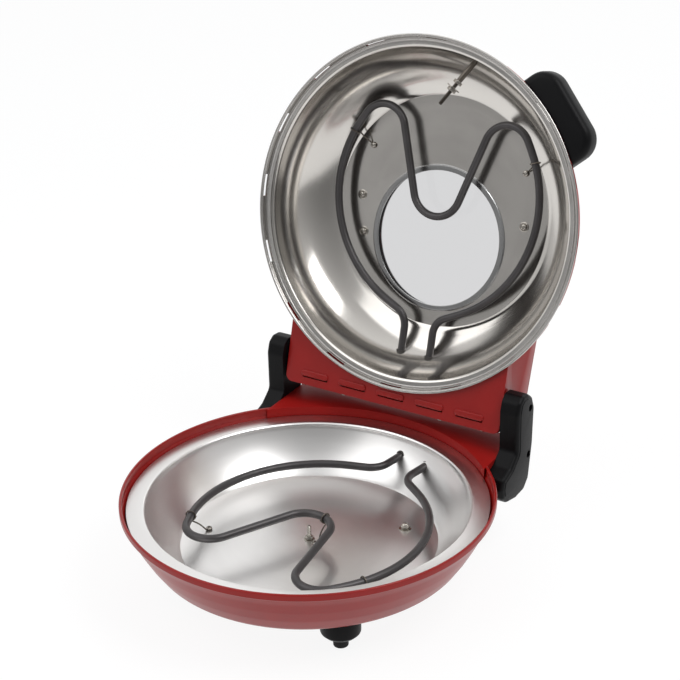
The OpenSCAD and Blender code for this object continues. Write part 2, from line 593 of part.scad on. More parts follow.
module window_glass() on_lid() color([0.85, 0.88, 0.9, 0.5])
    translate([0, win_off, floor_h + foil_t]) cylinder(r = win_r - 1, h = glass_t);
module window_gasket() on_lid() color("dimgray")
    translate([0, win_off, floor_h + foil_t + glass_t])
        ring(win_r, seal_in_r, top_h - shell_t - floor_h - foil_t - glass_t);
module window_inner_ring() on_lid() color("silver")
    translate([0, win_off, floor_h - 1]) ring(win_r, win_r - bezel_w, 1);
module window_outer_ring() on_lid() color("silver")
    translate([0, win_off, top_h]) ring(win_r + 1, seal_in_r + 0.4, 1.6);
// rear box of the lid, carrying the element ends and the hinge
box_rise = 8; // its top climbs towards the dome
module box_prism(hw, o) translate([-hw, 0, 0]) rotate([90, 0, 90]) linear_extrude(2 * hw)
    polygon([[70, plate_h - o], [box_y - o, plate_h - o], [box_y - o, box_edge_h - o / 2],
        [box_y - 9 - o / 2, box_top_h - o], [70, box_top_h + box_rise - o]]);
module lid_box() on_lid() color("firebrick") difference() {
    box_prism(box_hw, 0);
    box_prism(box_hw - box_t, box_t);
    dome_fill(-eps);
    for (x = plate_screw_at) along_y(x, box_y - 5, plate_h + plate_tab / 2) cylinder(r = screw_r, h = 10);
    along_x(-box_hw - 5, hinge_y, hinge_h) cylinder(r = pin_r + 2.5, h = 2 * box_hw + 10);
}
module lid_box_plate() on_lid() color("firebrick") difference() {
    union() {
        block(-box_hw, box_hw, plate_y, box_y, plate_h - 0.8, plate_h);
        louvre_places() block(-15.5, 15.5, dome_r + 6, dome_r + 10, plate_h - 1.9, plate_h - 0.8);
    }
    translate([0, 0, -1]) cylinder(r = dome_r + 0.02, h = 10);
    louvre_places() block(-14.5, 14.5, dome_r + 8.6, dome_r + 11, plate_h - 3, plate_h + 1);
}
louvre_pitch = 43.5;
module louvre_places() for (i = [-2 : 2]) translate([i * louvre_pitch, 0, 0]) children();
// tabs of the plate, screwed to the box's rear wall
plate_tab = 9.5; // height of a tab
plate_screw_at = [for (s = [-1, 1], x = [54.5, box_hw - 19.3]) s * x];
module plate_brackets() on_lid() color("silver") for (x = plate_screw_at) difference() {
    block(x - 5, x + 5, box_y - box_t - 3, box_y - box_t, plate_h, plate_h + plate_tab);
    along_y(x, box_y - box_t - 4, plate_h + plate_tab / 2) cylinder(r = screw_r, h = 5);
}
module plate_screws() on_lid() color("silver") for (x = plate_screw_at) {
    along_y(x, box_y - box_t - 5, plate_h + plate_tab / 2) cylinder(r = screw_r, h = 5 + box_t);
    along_y(x, box_y, plate_h + plate_tab / 2) cylinder(r = head_r, h = 2);
}
module hinge_bushes() on_lid() color("goldenrod") sides() difference() {
    union() {
        along_x(box_hw - 5.2, hinge_y, hinge_h) cylinder(r = pin_r + 2.5, h = 6.2);
        along_x(box_hw - 5.2, hinge_y, hinge_h) cylinder(r = pin_r + 6, h = 4);
    }
    along_x(box_hw - 10, hinge_y, hinge_h) cylinder(r = bore_r, h = 20);
}
// ---------- handle ----------
handle_z = 3; // underside of the handle over the rim plane
handle_root = dome_r - 20; // where the handle starts inside the dome
module at_handle() rotate([0, 0, handle_az - 90]) children();
module handle_screw_places() at_handle() for (s = [-1, 1])
    along_x(handle_root + 9, s * (handle_hw - 24), handle_z + 9) children();
module handle_outline() {
    translate([handle_root, -handle_hw]) square([handle_reach - handle_round - handle_root, 2 * handle_hw]);
    translate([handle_root, handle_round - handle_hw])
        square([handle_reach - handle_root, 2 * (handle_hw - handle_round)]);
    for (s = [-1, 1]) translate([handle_reach - handle_round, s * (handle_hw - handle_round)])
        circle(r = handle_round);
}
module lid_handle() on_lid() color([0.09, 0.09, 0.1]) difference() {
    at_handle() translate([0, 0, handle_z]) linear_extrude(handle_t) handle_outline();
    dome_fill(-eps);
    handle_screw_places() cylinder(r = stud_r, h = 21);
}
module handle_screws() on_lid() color("silver") {
    handle_screw_places() cylinder(r = stud_r, h = 20);
    intersection() { handle_screw_places() ring(3.6, stud_r, 8); dome_fill(shell_t); }
}

base_bowl();
rear_housing();
housing_floor();
bottom_cover();
bottom_screws();
lower_reflector();
lower_element();
lower_bushes();
lower_terminals();
lower_clips();
lower_clip_screws();
centre_stud();
stud_nuts();
tray_bolt();
thermostat();
fuse_clip();
terminal_block();
base_wires();
cord_gland();
front_feet();
rear_feet();
foot_pads();
foot_screws();
left_arm();
right_arm();
left_arm_cover();
right_arm_cover();
arm_screws();
arm_bolts();
hinge_pins();
lid_dome();
lid_ring();
lid_reflector();
upper_element();
upper_bushes();
upper_terminals();
upper_clips();
upper_clip_screws();
lid_posts();
lid_screws();
lid_stud();
lid_stud_nuts();
window_glass();
window_gasket();
window_inner_ring();
window_outer_ring();
lid_box();
lid_box_plate();
plate_brackets();
plate_screws();
hinge_bushes();
lid_handle();
handle_screws();
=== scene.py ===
"""Dresses the frame of the electric pizza maker: spun shells, reflectors, elements and fittings."""
import json
import logging
import math
from dataclasses import dataclass
from enum import Enum
from typing import Callable, Iterable, Optional, Sequence

import bpy
import bmesh
from mathutils import Matrix, Vector


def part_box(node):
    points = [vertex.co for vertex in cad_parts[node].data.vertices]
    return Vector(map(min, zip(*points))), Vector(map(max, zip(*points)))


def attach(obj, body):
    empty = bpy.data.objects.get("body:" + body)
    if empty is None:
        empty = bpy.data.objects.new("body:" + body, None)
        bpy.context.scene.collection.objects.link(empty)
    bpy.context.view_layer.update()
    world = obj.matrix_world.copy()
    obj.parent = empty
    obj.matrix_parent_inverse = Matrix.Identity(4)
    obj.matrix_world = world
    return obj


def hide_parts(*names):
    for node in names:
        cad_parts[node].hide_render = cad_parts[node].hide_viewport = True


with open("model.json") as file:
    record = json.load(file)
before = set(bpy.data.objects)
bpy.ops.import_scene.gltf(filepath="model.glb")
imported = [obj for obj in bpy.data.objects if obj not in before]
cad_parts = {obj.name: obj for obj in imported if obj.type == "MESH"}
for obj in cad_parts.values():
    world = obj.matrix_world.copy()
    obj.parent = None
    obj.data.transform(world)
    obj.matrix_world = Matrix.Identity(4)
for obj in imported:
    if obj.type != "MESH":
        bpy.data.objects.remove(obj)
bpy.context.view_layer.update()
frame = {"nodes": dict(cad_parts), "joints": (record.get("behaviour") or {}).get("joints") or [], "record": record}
log = logging.getLogger("pizza_maker")
Piece = bpy.types.Object
Node = bpy.types.Node
Socket = bpy.types.NodeSocket
Material = bpy.types.Material
Point = tuple[float, float]
Corner = tuple[float, float, float]
Colour = tuple[float, float, float]

MM = 0.001
# The hinge axis in the shut lid's own frame, in millimetres.
HINGE_Y = 176.2
HINGE_Z = 27.9
# A solid turned piece that starts narrower than this, in millimetres, is capped there.
CAPPED_R = 60.0
# The way in metres along radius and height that fills the spun map once.
MAP_LENGTH = 0.2
# Edges of a CAD node that are sharper than this, in degrees, get rounded.
SHARP_ANGLE = 28.0


class Body(Enum):
    """The two bodies that the hinge joins."""
    BASE = "base"
    LID = "lid"


class Slot(Enum):
    """The record's material slots."""
    RED_PAINT = "red_paint"
    BLACK_PLASTIC = "black_plastic"
    RUBBER = "rubber"
    POLISHED_STEEL = "polished_steel"
    BRIGHT_TRAY = "bright_tray"
    ELEMENT_SHEATH = "element_sheath"
    ZINC_STEEL = "zinc_steel"
    DARK_SCREW = "dark_screw"
    CERAMIC = "ceramic"
    TERMINAL_BRASS = "terminal_brass"
    WIRE_SLEEVE = "wire_sleeve"
    WINDOW_GLASS = "window_glass"


class Ends(Enum):
    """How a turned piece ends."""
    OPEN = "open"
    POLE = "pole"
    FLAT = "flat"
    ROUND_TRIP = "round trip"


class Join(Enum):
    """How a second solid acts on a piece."""
    CUT = "DIFFERENCE"
    ADD = "UNION"


# ---------------------------------------------------------------- places
def shift(x: float, y: float, z: float) -> Matrix:
    """Returns a move given in millimetres."""
    return Matrix.Translation((x * MM, y * MM, z * MM))


def turn(degrees: float, axis: str = "Z") -> Matrix:
    """Returns a turn about one axis."""
    return Matrix.Rotation(math.radians(degrees), 4, axis)


def polar(angle: float) -> Vector:
    """Returns the flat unit vector at an angle in radians."""
    return Vector((math.cos(angle), math.sin(angle)))


def base_place() -> Matrix:
    """Returns the matrix from the bowl's own frame to the part's frame, from the tray's box."""
    low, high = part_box("lower_reflector")
    return shift(0.0, (low.y + high.y) / 2 / MM, 0.0)


def lid_place() -> Matrix:
    """Returns the matrix from the shut lid's own frame to its stored, open place."""
    joint = frame["joints"][0]
    hinge = Matrix.Translation(Vector(joint["pos_m"]))
    return hinge @ turn(-joint["range_deg"][1], "X") @ shift(0.0, -HINGE_Y, -HINGE_Z)


def facing(spot: Sequence[float], way: str) -> Matrix:
    """Returns a place in millimetres whose z axis points along a named way, such as "-z" or "+x"."""
    turns = {"+z": (0, "X"), "-z": (180, "X"), "+y": (-90, "X"), "-y": (90, "X"), "+x": (90, "Y"),
             "-x": (-90, "Y")}
    return Matrix.Translation(Vector(spot) * MM) @ turn(*turns[way])


# ---------------------------------------------------------------- modelling helpers
def deselect() -> None:
    """Deselects every object."""
    for thing in bpy.context.selected_objects:
        thing.select_set(False)


def activate(piece: Piece) -> None:
    """Makes a piece the only selected and active object."""
    deselect()
    piece.select_set(True)
    bpy.context.view_layer.objects.active = piece


def edit(piece: Piece) -> None:
    """Opens a piece in edit mode with the whole mesh selected."""
    activate(piece)
    bpy.ops.object.mode_set(mode="EDIT")
    bpy.ops.mesh.select_all(action="SELECT")


def done() -> None:
    """Leaves edit mode."""
    bpy.ops.object.mode_set(mode="OBJECT")


def named(name: str) -> Piece:
    """Names the active object and its data, and returns it."""
    piece = bpy.context.active_object
    piece.name = piece.data.name = name
    return piece


def select_where(piece: Piece, kind: str, test: Callable[[object], bool]) -> int:
    """Selects the vertices, edges or faces that pass a test, in edit mode.

    Args:
        piece: the object in edit mode.
        kind: "VERT", "EDGE" or "FACE".
        test: gets a bmesh element and says whether it is wanted.

    Returns:
        The number of selected elements.
    """
    bpy.ops.mesh.select_mode(type=kind)
    bpy.ops.mesh.select_all(action="DESELECT")
    mesh = bmesh.from_edit_mesh(piece.data)
    items = {"VERT": mesh.verts, "EDGE": mesh.edges, "FACE": mesh.faces}[kind]
    wanted = [item for item in items if test(item)]
    for item in wanted:
        item.select_set(True)
    mesh.select_flush_mode()
    bmesh.update_edit_mesh(piece.data)
    return len(wanted)


def drop_faces(piece: Piece, test: Callable[[bmesh.types.BMFace], bool]) -> None:
    """Deletes the faces that pass a test, leaves edit mode and turns the others outwards."""
    select_where(piece, "FACE", test)
    bpy.ops.mesh.delete(type="FACE")
    done()
    face_out(piece)


def cut_at(point: Corner, normal: Corner, **options: bool) -> None:
    """Cuts the whole mesh in edit mode along the plane through a point in millimetres."""
    bpy.ops.mesh.select_all(action="SELECT")
    bpy.ops.mesh.bisect(plane_co=[c * MM for c in point], plane_no=normal, **options)


def swept(middle: Vector, first: Vector, last: Vector, steps: int) -> list[Point]:
    """Returns the points of an arc.

    Args:
        middle: the arc's centre.
        first: from the centre to the first point.
        last: from the centre to the last point.
        steps: number of segments.
    """
    sweep = first.angle_signed(last)
    out = []
    for k in range(steps + 1):
        spot = first.copy()
        spot.rotate(Matrix.Rotation(-sweep * k / steps, 2))
        out.append(tuple(middle + spot))
    return out


def arc(start: Point, end: Point, radius: float, steps: int) -> list[Point]:
    """Returns the points of the arc between two points whose centre lies left of the way."""
    a, b = Vector(start), Vector(end)
    way = (b - a).normalized()
    half = (b - a).length / 2
    middle = (a + b) / 2 + Vector((-way.y, way.x)) * math.sqrt(radius * radius - half * half)
    return swept(middle, a - middle, b - middle, steps)


def fillet(points: Sequence[Corner], steps: int, loop: bool = False, reach: float = 0.49) -> list[Point]:
    """Rounds the corners of an outline.

    Args:
        points: (a, b, radius) for each corner; a radius of 0 keeps it sharp.
        steps: segments of each rounding.
        loop: whether the outline closes on itself.
        reach: the largest share of a side that one rounding may take.

    Returns:
        The outline's points.
    """
    out: list[Point] = []
    for i, (a, b, radius) in enumerate(points):
        if radius <= 0 or (not loop and i in (0, len(points) - 1)):
            out.append((a, b))
            continue
        here = Vector((a, b))
        back = Vector(points[i - 1][:2]) - here
        ahead = Vector(points[(i + 1) % len(points)][:2]) - here
        bend = math.pi - back.angle(ahead)
        cut = min(radius * math.tan(bend / 2), back.length * reach, ahead.length * reach)
        rho = cut / math.tan(bend / 2)
        middle = here + (back.normalized() + ahead.normalized()).normalized() * rho / math.cos(bend / 2)
        out += swept(middle, here + back.normalized() * cut - middle,
                     here + ahead.normalized() * cut - middle, steps)
    return out


def ring_points(middle: Point, radius: float, steps: int, start: float = 0.0,
                sweep: float = math.tau) -> list[Point]:
    """Returns points on a circle or a part of one.

    Args:
        middle: the circle's centre.
        radius: its radius.
        steps: segments of the whole sweep.
        start: first angle in radians.
        sweep: angle to go round; a full turn leaves its last point out.
    """
    count = steps if abs(sweep) > 6.28 else steps + 1
    return [(middle[0] + radius * math.cos(start + sweep * k / steps),
             middle[1] + radius * math.sin(start + sweep * k / steps)) for k in range(count)]


def flow(points: Sequence[Sequence[float]], steps: int) -> list[Vector]:
    """Returns a smooth line through points, with a number of steps between each two."""
    spots = [Vector(p) for p in points]
    spots = [spots[0] * 2 - spots[1], *spots, spots[-1] * 2 - spots[-2]]
    out = []
    for a, b, c, d in zip(spots, spots[1:], spots[2:], spots[3:]):
        for k in range(steps):
            t = k / steps
            out.append(0.5 * (2 * b + (c - a) * t + (2 * a - 5 * b + 4 * c - d) * t ** 2
                              + (3 * b - a - 3 * c + d) * t ** 3))
    return [*out, spots[-2]]


def lathe(name: str, profile: Sequence[Point], segments: int = 256, ends: Ends = Ends.OPEN) -> Piece:
    """Turns a piece from a circle that is extruded and scaled along a profile.

    Args:
        name: the piece's name.
        profile: (radius, height) in millimetres, from one edge to the other.
        segments: sides of the circle.
        ends: open edges, the last ring merged on the axis, flat caps, or a profile back to its start.

    Returns:
        The new object, in object mode.
    """
    deselect()
    radius, height = profile[0]
    start = "NGON" if ends in (Ends.FLAT, Ends.POLE) and radius < CAPPED_R else "NOTHING"
    bpy.ops.mesh.primitive_circle_add(vertices=segments, radius=radius * MM, location=(0, 0, 0),
                                      fill_type=start)
    piece = named(name)
    edit(piece)
    bpy.ops.transform.translate(value=(0, 0, height * MM))
    trip = [*profile[1:], profile[0]] if ends is Ends.ROUND_TRIP else profile[1:]
    for wide, high in trip:
        bpy.ops.mesh.extrude_edges_move(TRANSFORM_OT_translate={"value": (0, 0, (high - height) * MM)})
        scale = wide / radius
        if abs(scale - 1) > 1e-7:
            bpy.ops.transform.resize(value=(scale, scale, 1), center_override=(0, 0, high * MM))
        radius, height = wide, high
    if ends is Ends.POLE:
        bpy.ops.mesh.merge(type="CENTER")
    if ends is Ends.FLAT:
        bpy.ops.mesh.edge_face_add()
    done()
    return piece


def drawn(name: str, loops: Sequence[Sequence[Sequence[float]]], flat: bool, radius: float,
          height: float = 0.0, sides: int = 3) -> Piece:
    """Draws lines as a curve, gives them body and makes them a mesh.

    Args:
        name: the piece's name.
        loops: the lines' points in millimetres; a flat drawing's lines are closed.
        flat: whether the lines bound a sheet, or else are bars.
        radius: the rounding of a sheet's edges, or the radius of a bar, in millimetres.
        height: thickness of a sheet, in millimetres.
        sides: smoothness of the rounding.

    Returns:
        The new object, in object mode.
    """
    drawing = bpy.data.curves.new(name, "CURVE")
    drawing.dimensions = "2D" if flat else "3D"
    drawing.fill_mode = "BOTH" if flat else "FULL"
    drawing.bevel_depth = radius * MM
    drawing.bevel_resolution = sides
    drawing.use_fill_caps = not flat
    if flat:
        drawing.extrude = (height / 2 - radius) * MM
        drawing.offset = -radius * MM
    for loop in loops:
        line = drawing.splines.new("POLY")
        line.points.add(len(loop) - 1)
        for point, place in zip(line.points, loop):
            point.co = (*(c * MM for c in place), *([0.0] * (3 - len(place))), 1.0)
        line.use_cyclic_u = flat
    piece = bpy.data.objects.new(name, drawing)
    bpy.context.scene.collection.objects.link(piece)
    activate(piece)
    bpy.ops.object.convert(target="MESH")
    piece = named(name)
    face_out(piece)
    return piece


def slab(name: str, outline: Sequence[Point], thickness: float, rounding: float = 0.0,
         holes: Sequence[Sequence[Point]] = ()) -> Piece:
    """Returns a sheet or block with a rounded rim, cut from an outline and centred on its own z = 0."""
    return drawn(name, [outline, *holes], True, rounding, thickness)


def wire(name: str, points: Sequence[Sequence[float]], radius: float, sides: int = 4) -> Piece:
    """Returns a round bar bent along points."""
    return drawn(name, [points], False, radius, sides=sides)


def joined(name: str, *pieces: Piece) -> Piece:
    """Joins pieces into the first one and names it."""
    activate(pieces[0])
    for piece in pieces[1:]:
        piece.select_set(True)
    bpy.ops.object.join()
    return named(name)


def at_places(piece: Piece, places: Sequence[Matrix]) -> Piece:
    """Copies a piece to each place, each with its own mesh, and joins the copies.

    Args:
        piece: the pattern, which is used for the first place.
        places: a matrix for each copy.

    Returns:
        One object, at the origin.
    """
    copies = [piece]
    for _ in places[1:]:
        copy = piece.copy()
        copy.data = piece.data.copy()
        bpy.context.scene.collection.objects.link(copy)
        copies.append(copy)
    for copy, place in zip(copies, places):
        settle(copy, place)
    return joined(piece.name, *copies)


def modify(piece: Piece, kind: str, **values: object) -> None:
    """Adds a modifier to a piece, sets its values and applies it.

    Args:
        piece: the object to change.
        kind: the modifier's type.
        values: properties of the modifier.
    """
    modifier = piece.modifiers.new("shaping", kind)
    for key, value in values.items():
        setattr(modifier, key, value)
    activate(piece)
    bpy.ops.object.modifier_apply(modifier=modifier.name)


def combine(piece: Piece, other: Piece, how: Join = Join.CUT) -> None:
    """Cuts a second solid out of a piece, or adds it, and removes the second object."""
    modify(piece, "BOOLEAN", operation=how.value, object=other, solver="EXACT")
    bpy.data.objects.remove(other, do_unlink=True)


def solidify(piece: Piece, thickness: float, offset: float = -1.0) -> None:
    """Gives a surface its sheet thickness, in millimetres."""
    modify(piece, "SOLIDIFY", thickness=thickness * MM, offset=offset, use_even_offset=True)


def back_up(piece: Piece, thickness: float, key: Callable[[bpy.types.MeshPolygon], float],
            up: bool) -> None:
    """Gives a drawn surface its sheet thickness on the side that was not drawn.

    Args:
        piece: the surface.
        thickness: in millimetres.
        key: the face with the largest value of this tells which side the normals are on.
        up: whether the drawn side looks up at that face.
    """
    face = max(piece.data.polygons, key=key)
    solidify(piece, thickness, -1.0 if (face.normal.z > 0) == up else 1.0)


def bevel(piece: Piece, width: float, segments: int, angle: float) -> None:
    """Rounds the edges of a piece that are sharper than an angle, by a width in millimetres."""
    modify(piece, "BEVEL", width=width * MM, segments=segments, limit_method="ANGLE",
           angle_limit=math.radians(angle))


def refined(node: str, name: str, width: float, segments: int = 2,
            corner: Optional[Callable[[object], bool]] = None, corner_r: float = 0.0) -> Piece:
    """Copies a CAD node, merges its facets and rounds its edges.

    Args:
        node: the CAD node to start from.
        name: the new piece's name.
        width: width of the rounding in millimetres.
        segments: segments of the rounding.
        corner: says which edges get a large rounding first.
        corner_r: that rounding in millimetres.

    Returns:
        The new object, in its place.
    """
    piece = bpy.data.objects.new(name, frame["nodes"][node].data.copy())
    piece.data.name = name
    bpy.context.scene.collection.objects.link(piece)
    edit(piece)
    bpy.ops.mesh.remove_doubles(threshold=2e-6)
    bpy.ops.mesh.dissolve_limited(angle_limit=math.radians(0.6))
    if corner and select_where(piece, "EDGE", corner):
        bpy.ops.mesh.bevel(offset=corner_r * MM, segments=6, affect="EDGES")
    done()
    bevel(piece, width, segments, SHARP_ANGLE)
    smooth(piece, 35)
    return piece


def face_out(piece: Piece) -> None:
    """Merges doubles and turns the faces of a piece outwards."""
    edit(piece)
    bpy.ops.mesh.remove_doubles(threshold=1e-6)
    bpy.ops.mesh.normals_make_consistent(inside=False)
    done()


def smooth(piece: Piece, angle: float) -> None:
    """Shades a piece smooth up to an angle in degrees."""
    activate(piece)
    bpy.ops.object.shade_smooth_by_angle(angle=math.radians(angle))


def settle(piece: Piece, place: Matrix) -> None:
    """Moves a finished piece from its own frame to its place and applies it to the mesh."""
    activate(piece)
    piece.matrix_world = place
    bpy.context.view_layer.update()
    bpy.ops.object.transform_apply(location=True, rotation=True, scale=True)


def round_map(piece: Piece) -> None:
    """Adds a UV map of turn and radius about the piece's own axis, for spun metal."""
    layer = piece.data.uv_layers.new(name="spun")
    mesh = piece.data
    for face in mesh.polygons:
        base = math.atan2(face.center.y, face.center.x)
        for loop in face.loop_indices:
            spot = mesh.vertices[mesh.loops[loop].vertex_index].co
            angle = math.atan2(spot.y, spot.x) if spot.xy.length > 1e-6 else base
            angle += math.tau * round((base - angle) / math.tau)
            layer.data[loop].uv = (angle / math.tau + 0.5, (spot.xy.length + abs(spot.z)) / MAP_LENGTH)


# ---------------------------------------------------------------- shader helpers
class Shader:
    """A small drawing board for one node tree."""

    def __init__(self, tree: bpy.types.NodeTree) -> None:
        """Keeps the tree to draw in."""
        self.tree = tree

    def add(self, kind: str, inputs: Optional[dict] = None, **values: object) -> Node:
        """Adds a node.

        Args:
            kind: the node's type name without its Shader prefix.
            inputs: socket name or number to a value or to another node's output.
            values: properties of the node.

        Returns:
            The node.
        """
        node = self.tree.nodes.new("ShaderNode" + kind)
        for key, value in values.items():
            setattr(node, key, value)
        self.feed(node, inputs or {})
        return node

    def feed(self, node: Node, inputs: dict) -> None:
        """Sets sockets of a node or links outputs to them.

        Args:
            node: the node whose sockets are set.
            inputs: socket name or number to a value or to another node's output.
        """
        for key, value in inputs.items():
            if isinstance(value, Socket):
                self.tree.links.new(value, node.inputs[key])
            else:
                node.inputs[key].default_value = value

    def object_place(self) -> Socket:
        """Returns the Object coordinates."""
        return self.add("TexCoord").outputs["Object"]

    def noise(self, vector: Socket, scale: object, detail: float = 3.0, rough: float = 0.5,
              distortion: float = 0.0) -> Socket:
        """Returns the value of a noise texture; the numbers are the texture's own."""
        return self.add("TexNoise", {"Vector": vector, "Scale": scale, "Detail": detail, "Roughness": rough,
                                     "Distortion": distortion}).outputs[0]

    def span(self, value: Socket, low: float, high: float, to_low: float = 0.0,
             to_high: float = 1.0) -> Socket:
        """Returns a value mapped from one range to another, clamped."""
        return self.add("MapRange", {0: value, 1: low, 2: high, 3: to_low, 4: to_high}).outputs[0]

    def mix(self, share: Socket, first: Colour, second: Colour) -> Socket:
        """Returns a mix of two colours."""
        return self.add("Mix", {0: share, 6: (*first, 1.0), 7: (*second, 1.0)}, data_type="RGBA").outputs[2]

    def math(self, operation: str, first: object, second: object = 0.0) -> Socket:
        """Returns the result of one sum."""
        return self.add("Math", {0: first, 1: second}, operation=operation).outputs[0]

    def vector(self, *parts: object) -> Socket:
        """Returns a vector of three values."""
        return self.add("CombineXYZ", dict(enumerate(parts))).outputs[0]


def effect_group(name: str, inputs: dict[str, float], outputs: Iterable[str],
                 draw: Callable[[Shader, Node], dict[str, Socket]]) -> bpy.types.NodeTree:
    """Builds a shared shader node group.

    Args:
        name: the group's name.
        inputs: float inputs with their defaults; a Vector input is always added first.
        outputs: names of the float outputs.
        draw: gets the board and the group's input node and returns a socket for each output.

    Returns:
        The group.
    """
    tree = bpy.data.node_groups.new(name, "ShaderNodeTree")
    tree.interface.new_socket("Vector", in_out="INPUT", socket_type="NodeSocketVector")
    for key, value in inputs.items():
        knob = tree.interface.new_socket(key, in_out="INPUT", socket_type="NodeSocketFloat")
        knob.default_value = value
    for key in outputs:
        tree.interface.new_socket(key, in_out="OUTPUT", socket_type="NodeSocketFloat")
    source, sink = tree.nodes.new("NodeGroupInput"), tree.nodes.new("NodeGroupOutput")
    for key, socket in draw(Shader(tree), source).items():
        tree.links.new(socket, sink.inputs[key])
    return tree


class Effects:
    """The effects that several finishes share."""

    def __init__(self) -> None:
        """Builds each group once."""
        self.grain = effect_group("fine_grain", {"Scale": 900.0}, ("Height", "Mask"), self.draw_grain)
        self.spun = effect_group("spun_lines", {"Lines": 300.0}, ("Height", "Mask"), self.draw_spun)
        self.wear = effect_group("handling", {"Amount": 0.5}, ("Smudge", "Dust"), self.draw_wear)

    @staticmethod
    def draw_grain(board: Shader, source: Node) -> dict[str, Socket]:
        """Draws a fine moulded or sprayed grain over a broad mask."""
        place = source.outputs["Vector"]
        return {"Height": board.noise(place, source.outputs["Scale"], detail=2.0),
                "Mask": board.noise(place, 35.0)}

    @staticmethod
    def draw_spun(board: Shader, source: Node) -> dict[str, Socket]:
        """Draws fine lines that run round a spun sheet; the vector is turn and radius."""
        split = board.add("SeparateXYZ", {0: source.outputs["Vector"]})
        angle = board.math("MULTIPLY", split.outputs[0], math.tau)
        ring = board.math("COSINE", angle), board.math("SINE", angle)
        across = board.math("MULTIPLY", split.outputs[1], source.outputs["Lines"])
        broad = board.math("MULTIPLY", split.outputs[1], 9.0)
        return {"Height": board.noise(board.vector(*ring, across), 1.0, detail=4.0, rough=0.7),
                "Mask": board.noise(board.vector(*ring, broad), 1.3, detail=2.0)}

    @staticmethod
    def draw_wear(board: Shader, source: Node) -> dict[str, Socket]:
        """Draws smudges and a thin dust."""
        place, amount = source.outputs["Vector"], source.outputs["Amount"]
        smudge = board.span(board.noise(place, 18.0, detail=5.0, rough=0.6, distortion=0.4), 0.42, 0.68)
        dust = board.span(board.noise(place, 240.0, detail=4.0, rough=0.7), 0.55, 0.75)
        return {"Smudge": board.math("MULTIPLY", smudge, amount),
                "Dust": board.math("MULTIPLY", dust, amount)}


def blank(name: str) -> tuple[Material, Shader, Node]:
    """Returns a new material with its board and its surface shader."""
    material = bpy.data.materials.new(name)
    material.use_nodes = True
    return material, Shader(material.node_tree), material.node_tree.nodes["Principled BSDF"]


@dataclass(frozen=True)
class Coating:
    """One opaque finish: a colour pair, a roughness range and a fine surface."""
    name: str
    colour: Colour
    shade: Colour
    rough: tuple[float, float]
    grain: float
    metallic: float = 0.0
    bump: float = 0.1
    specular: float = 0.5
    smudge: float = 0.4

    def make(self, effects: Effects) -> Material:
        """Builds the material on Object coordinates."""
        material, board, shader = blank(self.name)
        place = board.object_place()
        grain = board.add("Group", {"Scale": self.grain, "Vector": place}, node_tree=effects.grain).outputs
        wear = board.add("Group", {"Amount": self.smudge, "Vector": place}, node_tree=effects.wear).outputs
        bump = board.add("Bump", {"Height": grain["Height"], "Strength": self.bump, "Distance": 0.0004})
        board.feed(shader, {
            "Base Color": board.mix(board.span(grain["Mask"], 0.3, 0.7), self.colour, self.shade),
            "Roughness": board.span(wear["Smudge"], 0.0, 1.0, *self.rough),
            "Metallic": self.metallic,
            "Specular IOR Level": self.specular,
            "Normal": bump.outputs[0],
        })
        return material


@dataclass(frozen=True)
class SpunMetal:
    """Bright sheet spun or brushed about its axis; reads the piece's own map of turn and radius."""
    name: str
    colour: Colour
    shade: Colour
    rough: tuple[float, float]
    lines: float
    bump: float = 0.12
    anisotropy: float = 0.6

    def make(self, effects: Effects) -> Material:
        """Builds the material on the spun map and Object coordinates."""
        material, board, shader = blank(self.name)
        round_place = board.add("UVMap", uv_map="spun").outputs[0]
        lines = {"Lines": self.lines, "Vector": round_place}
        spun = board.add("Group", lines, node_tree=effects.spun).outputs
        wear = board.add("Group", {"Vector": board.object_place()}, node_tree=effects.wear).outputs
        bump = board.add("Bump", {"Height": spun["Height"], "Strength": self.bump, "Distance": 0.0002})
        board.feed(shader, {
            "Base Color": board.mix(board.span(spun["Mask"], 0.3, 0.7), self.colour, self.shade),
            "Roughness": board.span(wear["Smudge"], 0.0, 0.5, *self.rough),
            "Metallic": 1.0,
            "Anisotropic": self.anisotropy,
            "Tangent": board.add("Tangent", direction_type="UV_MAP", uv_map="spun").outputs[0],
            "Normal": bump.outputs[0],
        })
        return material


@dataclass(frozen=True)
class Glass:
    """Clear tempered glass with a faint dust and smudges."""
    name: str
    tint: Colour
    dust: Colour
    rough: tuple[float, float] = (0.03, 0.12)

    def make(self, effects: Effects) -> Material:
        """Builds the glass."""
        material, board, shader = blank(self.name)
        wear = board.add("Group", {"Vector": board.object_place()}, node_tree=effects.wear).outputs
        board.feed(shader, {
            "Base Color": board.mix(wear["Dust"], self.tint, self.dust),
            "Roughness": board.span(wear["Smudge"], 0.0, 1.0, *self.rough),
            "Transmission Weight": 1.0,
            "IOR": 1.45,
        })
        return material


